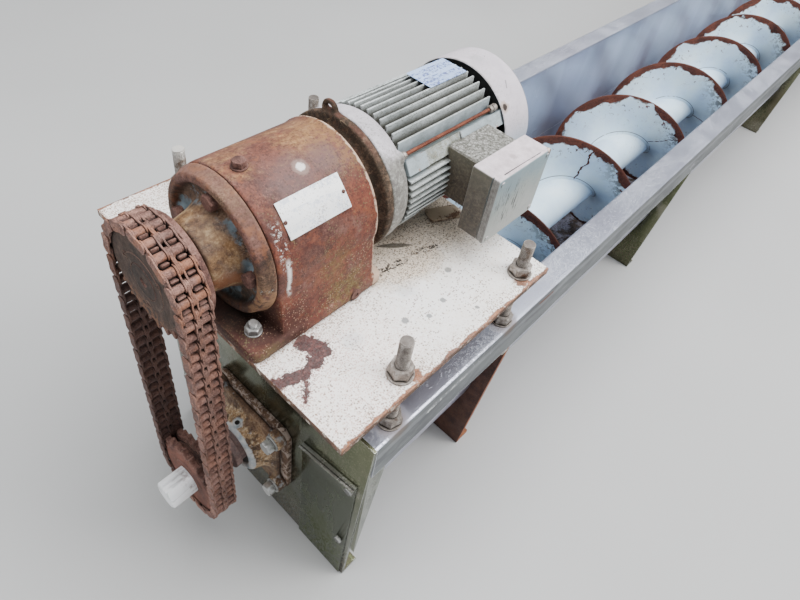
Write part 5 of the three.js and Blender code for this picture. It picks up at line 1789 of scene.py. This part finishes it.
def make_camera():
    """Camera solved from the photo's edges and circles, in metres, degrees and pixels."""
    image_wide, image_high = 800, 600
    focal_pixels, centre = 613.814, (406.272, 244.713)
    place, angles = Vector((-0.3607, -0.4864, 1.2859)), (34.769, -43.398, 10.955)
    camera = bpy.data.objects.new("camera", bpy.data.cameras.new("camera"))
    bpy.context.scene.collection.objects.link(camera)
    camera.matrix_world = look_from(place, *(math.radians(angle) for angle in angles))
    camera.data.sensor_width = 36
    camera.data.lens = focal_pixels / image_wide * camera.data.sensor_width
    camera.data.shift_x = (image_wide / 2 - centre[0]) / image_wide
    camera.data.shift_y = (centre[1] - image_high / 2) / image_wide
    camera.data.clip_end = 200
    bpy.context.scene.camera = camera


def soft_lamp(name, place, target, size, power, colour):
    """Round lamp, in metres and watts, that shines from a place on a target."""
    lamp = bpy.data.objects.new(name, bpy.data.lights.new(name, "AREA"))
    bpy.context.scene.collection.objects.link(lamp)
    lamp.data.shape, lamp.data.size = "DISK", size
    lamp.data.energy, lamp.data.color = power, colour
    lamp.location = place
    lamp.rotation_euler = (Vector(target) - Vector(place)).to_track_quat("-Z", "Y").to_euler()


def make_studio():
    floor = bpy.data.meshes.new("studio_floor")
    reach = 40
    corners = [(-reach, -reach, 0), (reach, -reach, 0), (reach, reach, 0), (-reach, reach, 0)]
    floor.from_pydata(corners, [], [(0, 1, 2, 3)])
    pale = Finish("pale_floor", "floor")
    pale.skin = pale.ramp(
        pale.cloud(900, 2), (0.3, (0.46, 0.46, 0.455)), (0.7, (0.49, 0.49, 0.485)))
    pale.set(0.8)
    floor.materials.append(pale.material)
    piece = bpy.data.objects.new("studio_floor", floor)
    bpy.context.scene.collection.objects.link(piece)
    piece.location.z = -0.0005
    world = bpy.data.worlds.new("studio")
    world.use_nodes = True
    sky = world.node_tree.nodes["Background"].inputs
    sky["Color"].default_value, sky["Strength"].default_value = (0.93, 0.96, 1.0, 1), 0.56
    bpy.context.scene.world = world
    soft_lamp("sky", (1.4, -0.6, 5.2), (1.0, 0, 0.5), 5.0, 455, (0.98, 0.99, 1))
    soft_lamp("key", (2.6, -3.4, 4.2), (0.4, 0, 0.6), 2.4, 190, (1, 0.99, 0.97))
    soft_lamp("fill", (-2.6, 1.2, 3.6), (0, 0, 0.6), 3.0, 75, (0.97, 0.98, 1))


make_camera()
make_studio()
make_trough()
make_bearing("drive", DRIVE_FACE_X, -1)
make_bearing("far", FAR_X + END_PLATE, 1)
make_shafts()
make_screw()
make_chain()
make_sprockets()
make_motor_plate()
make_gearbox_casting()
make_front_cover()
make_gearbox_plate()
make_gearbox_fasteners()
make_adapter()
make_end_bell()
make_motor_frame()
make_cowl()
make_motor_details()
make_terminal_box()
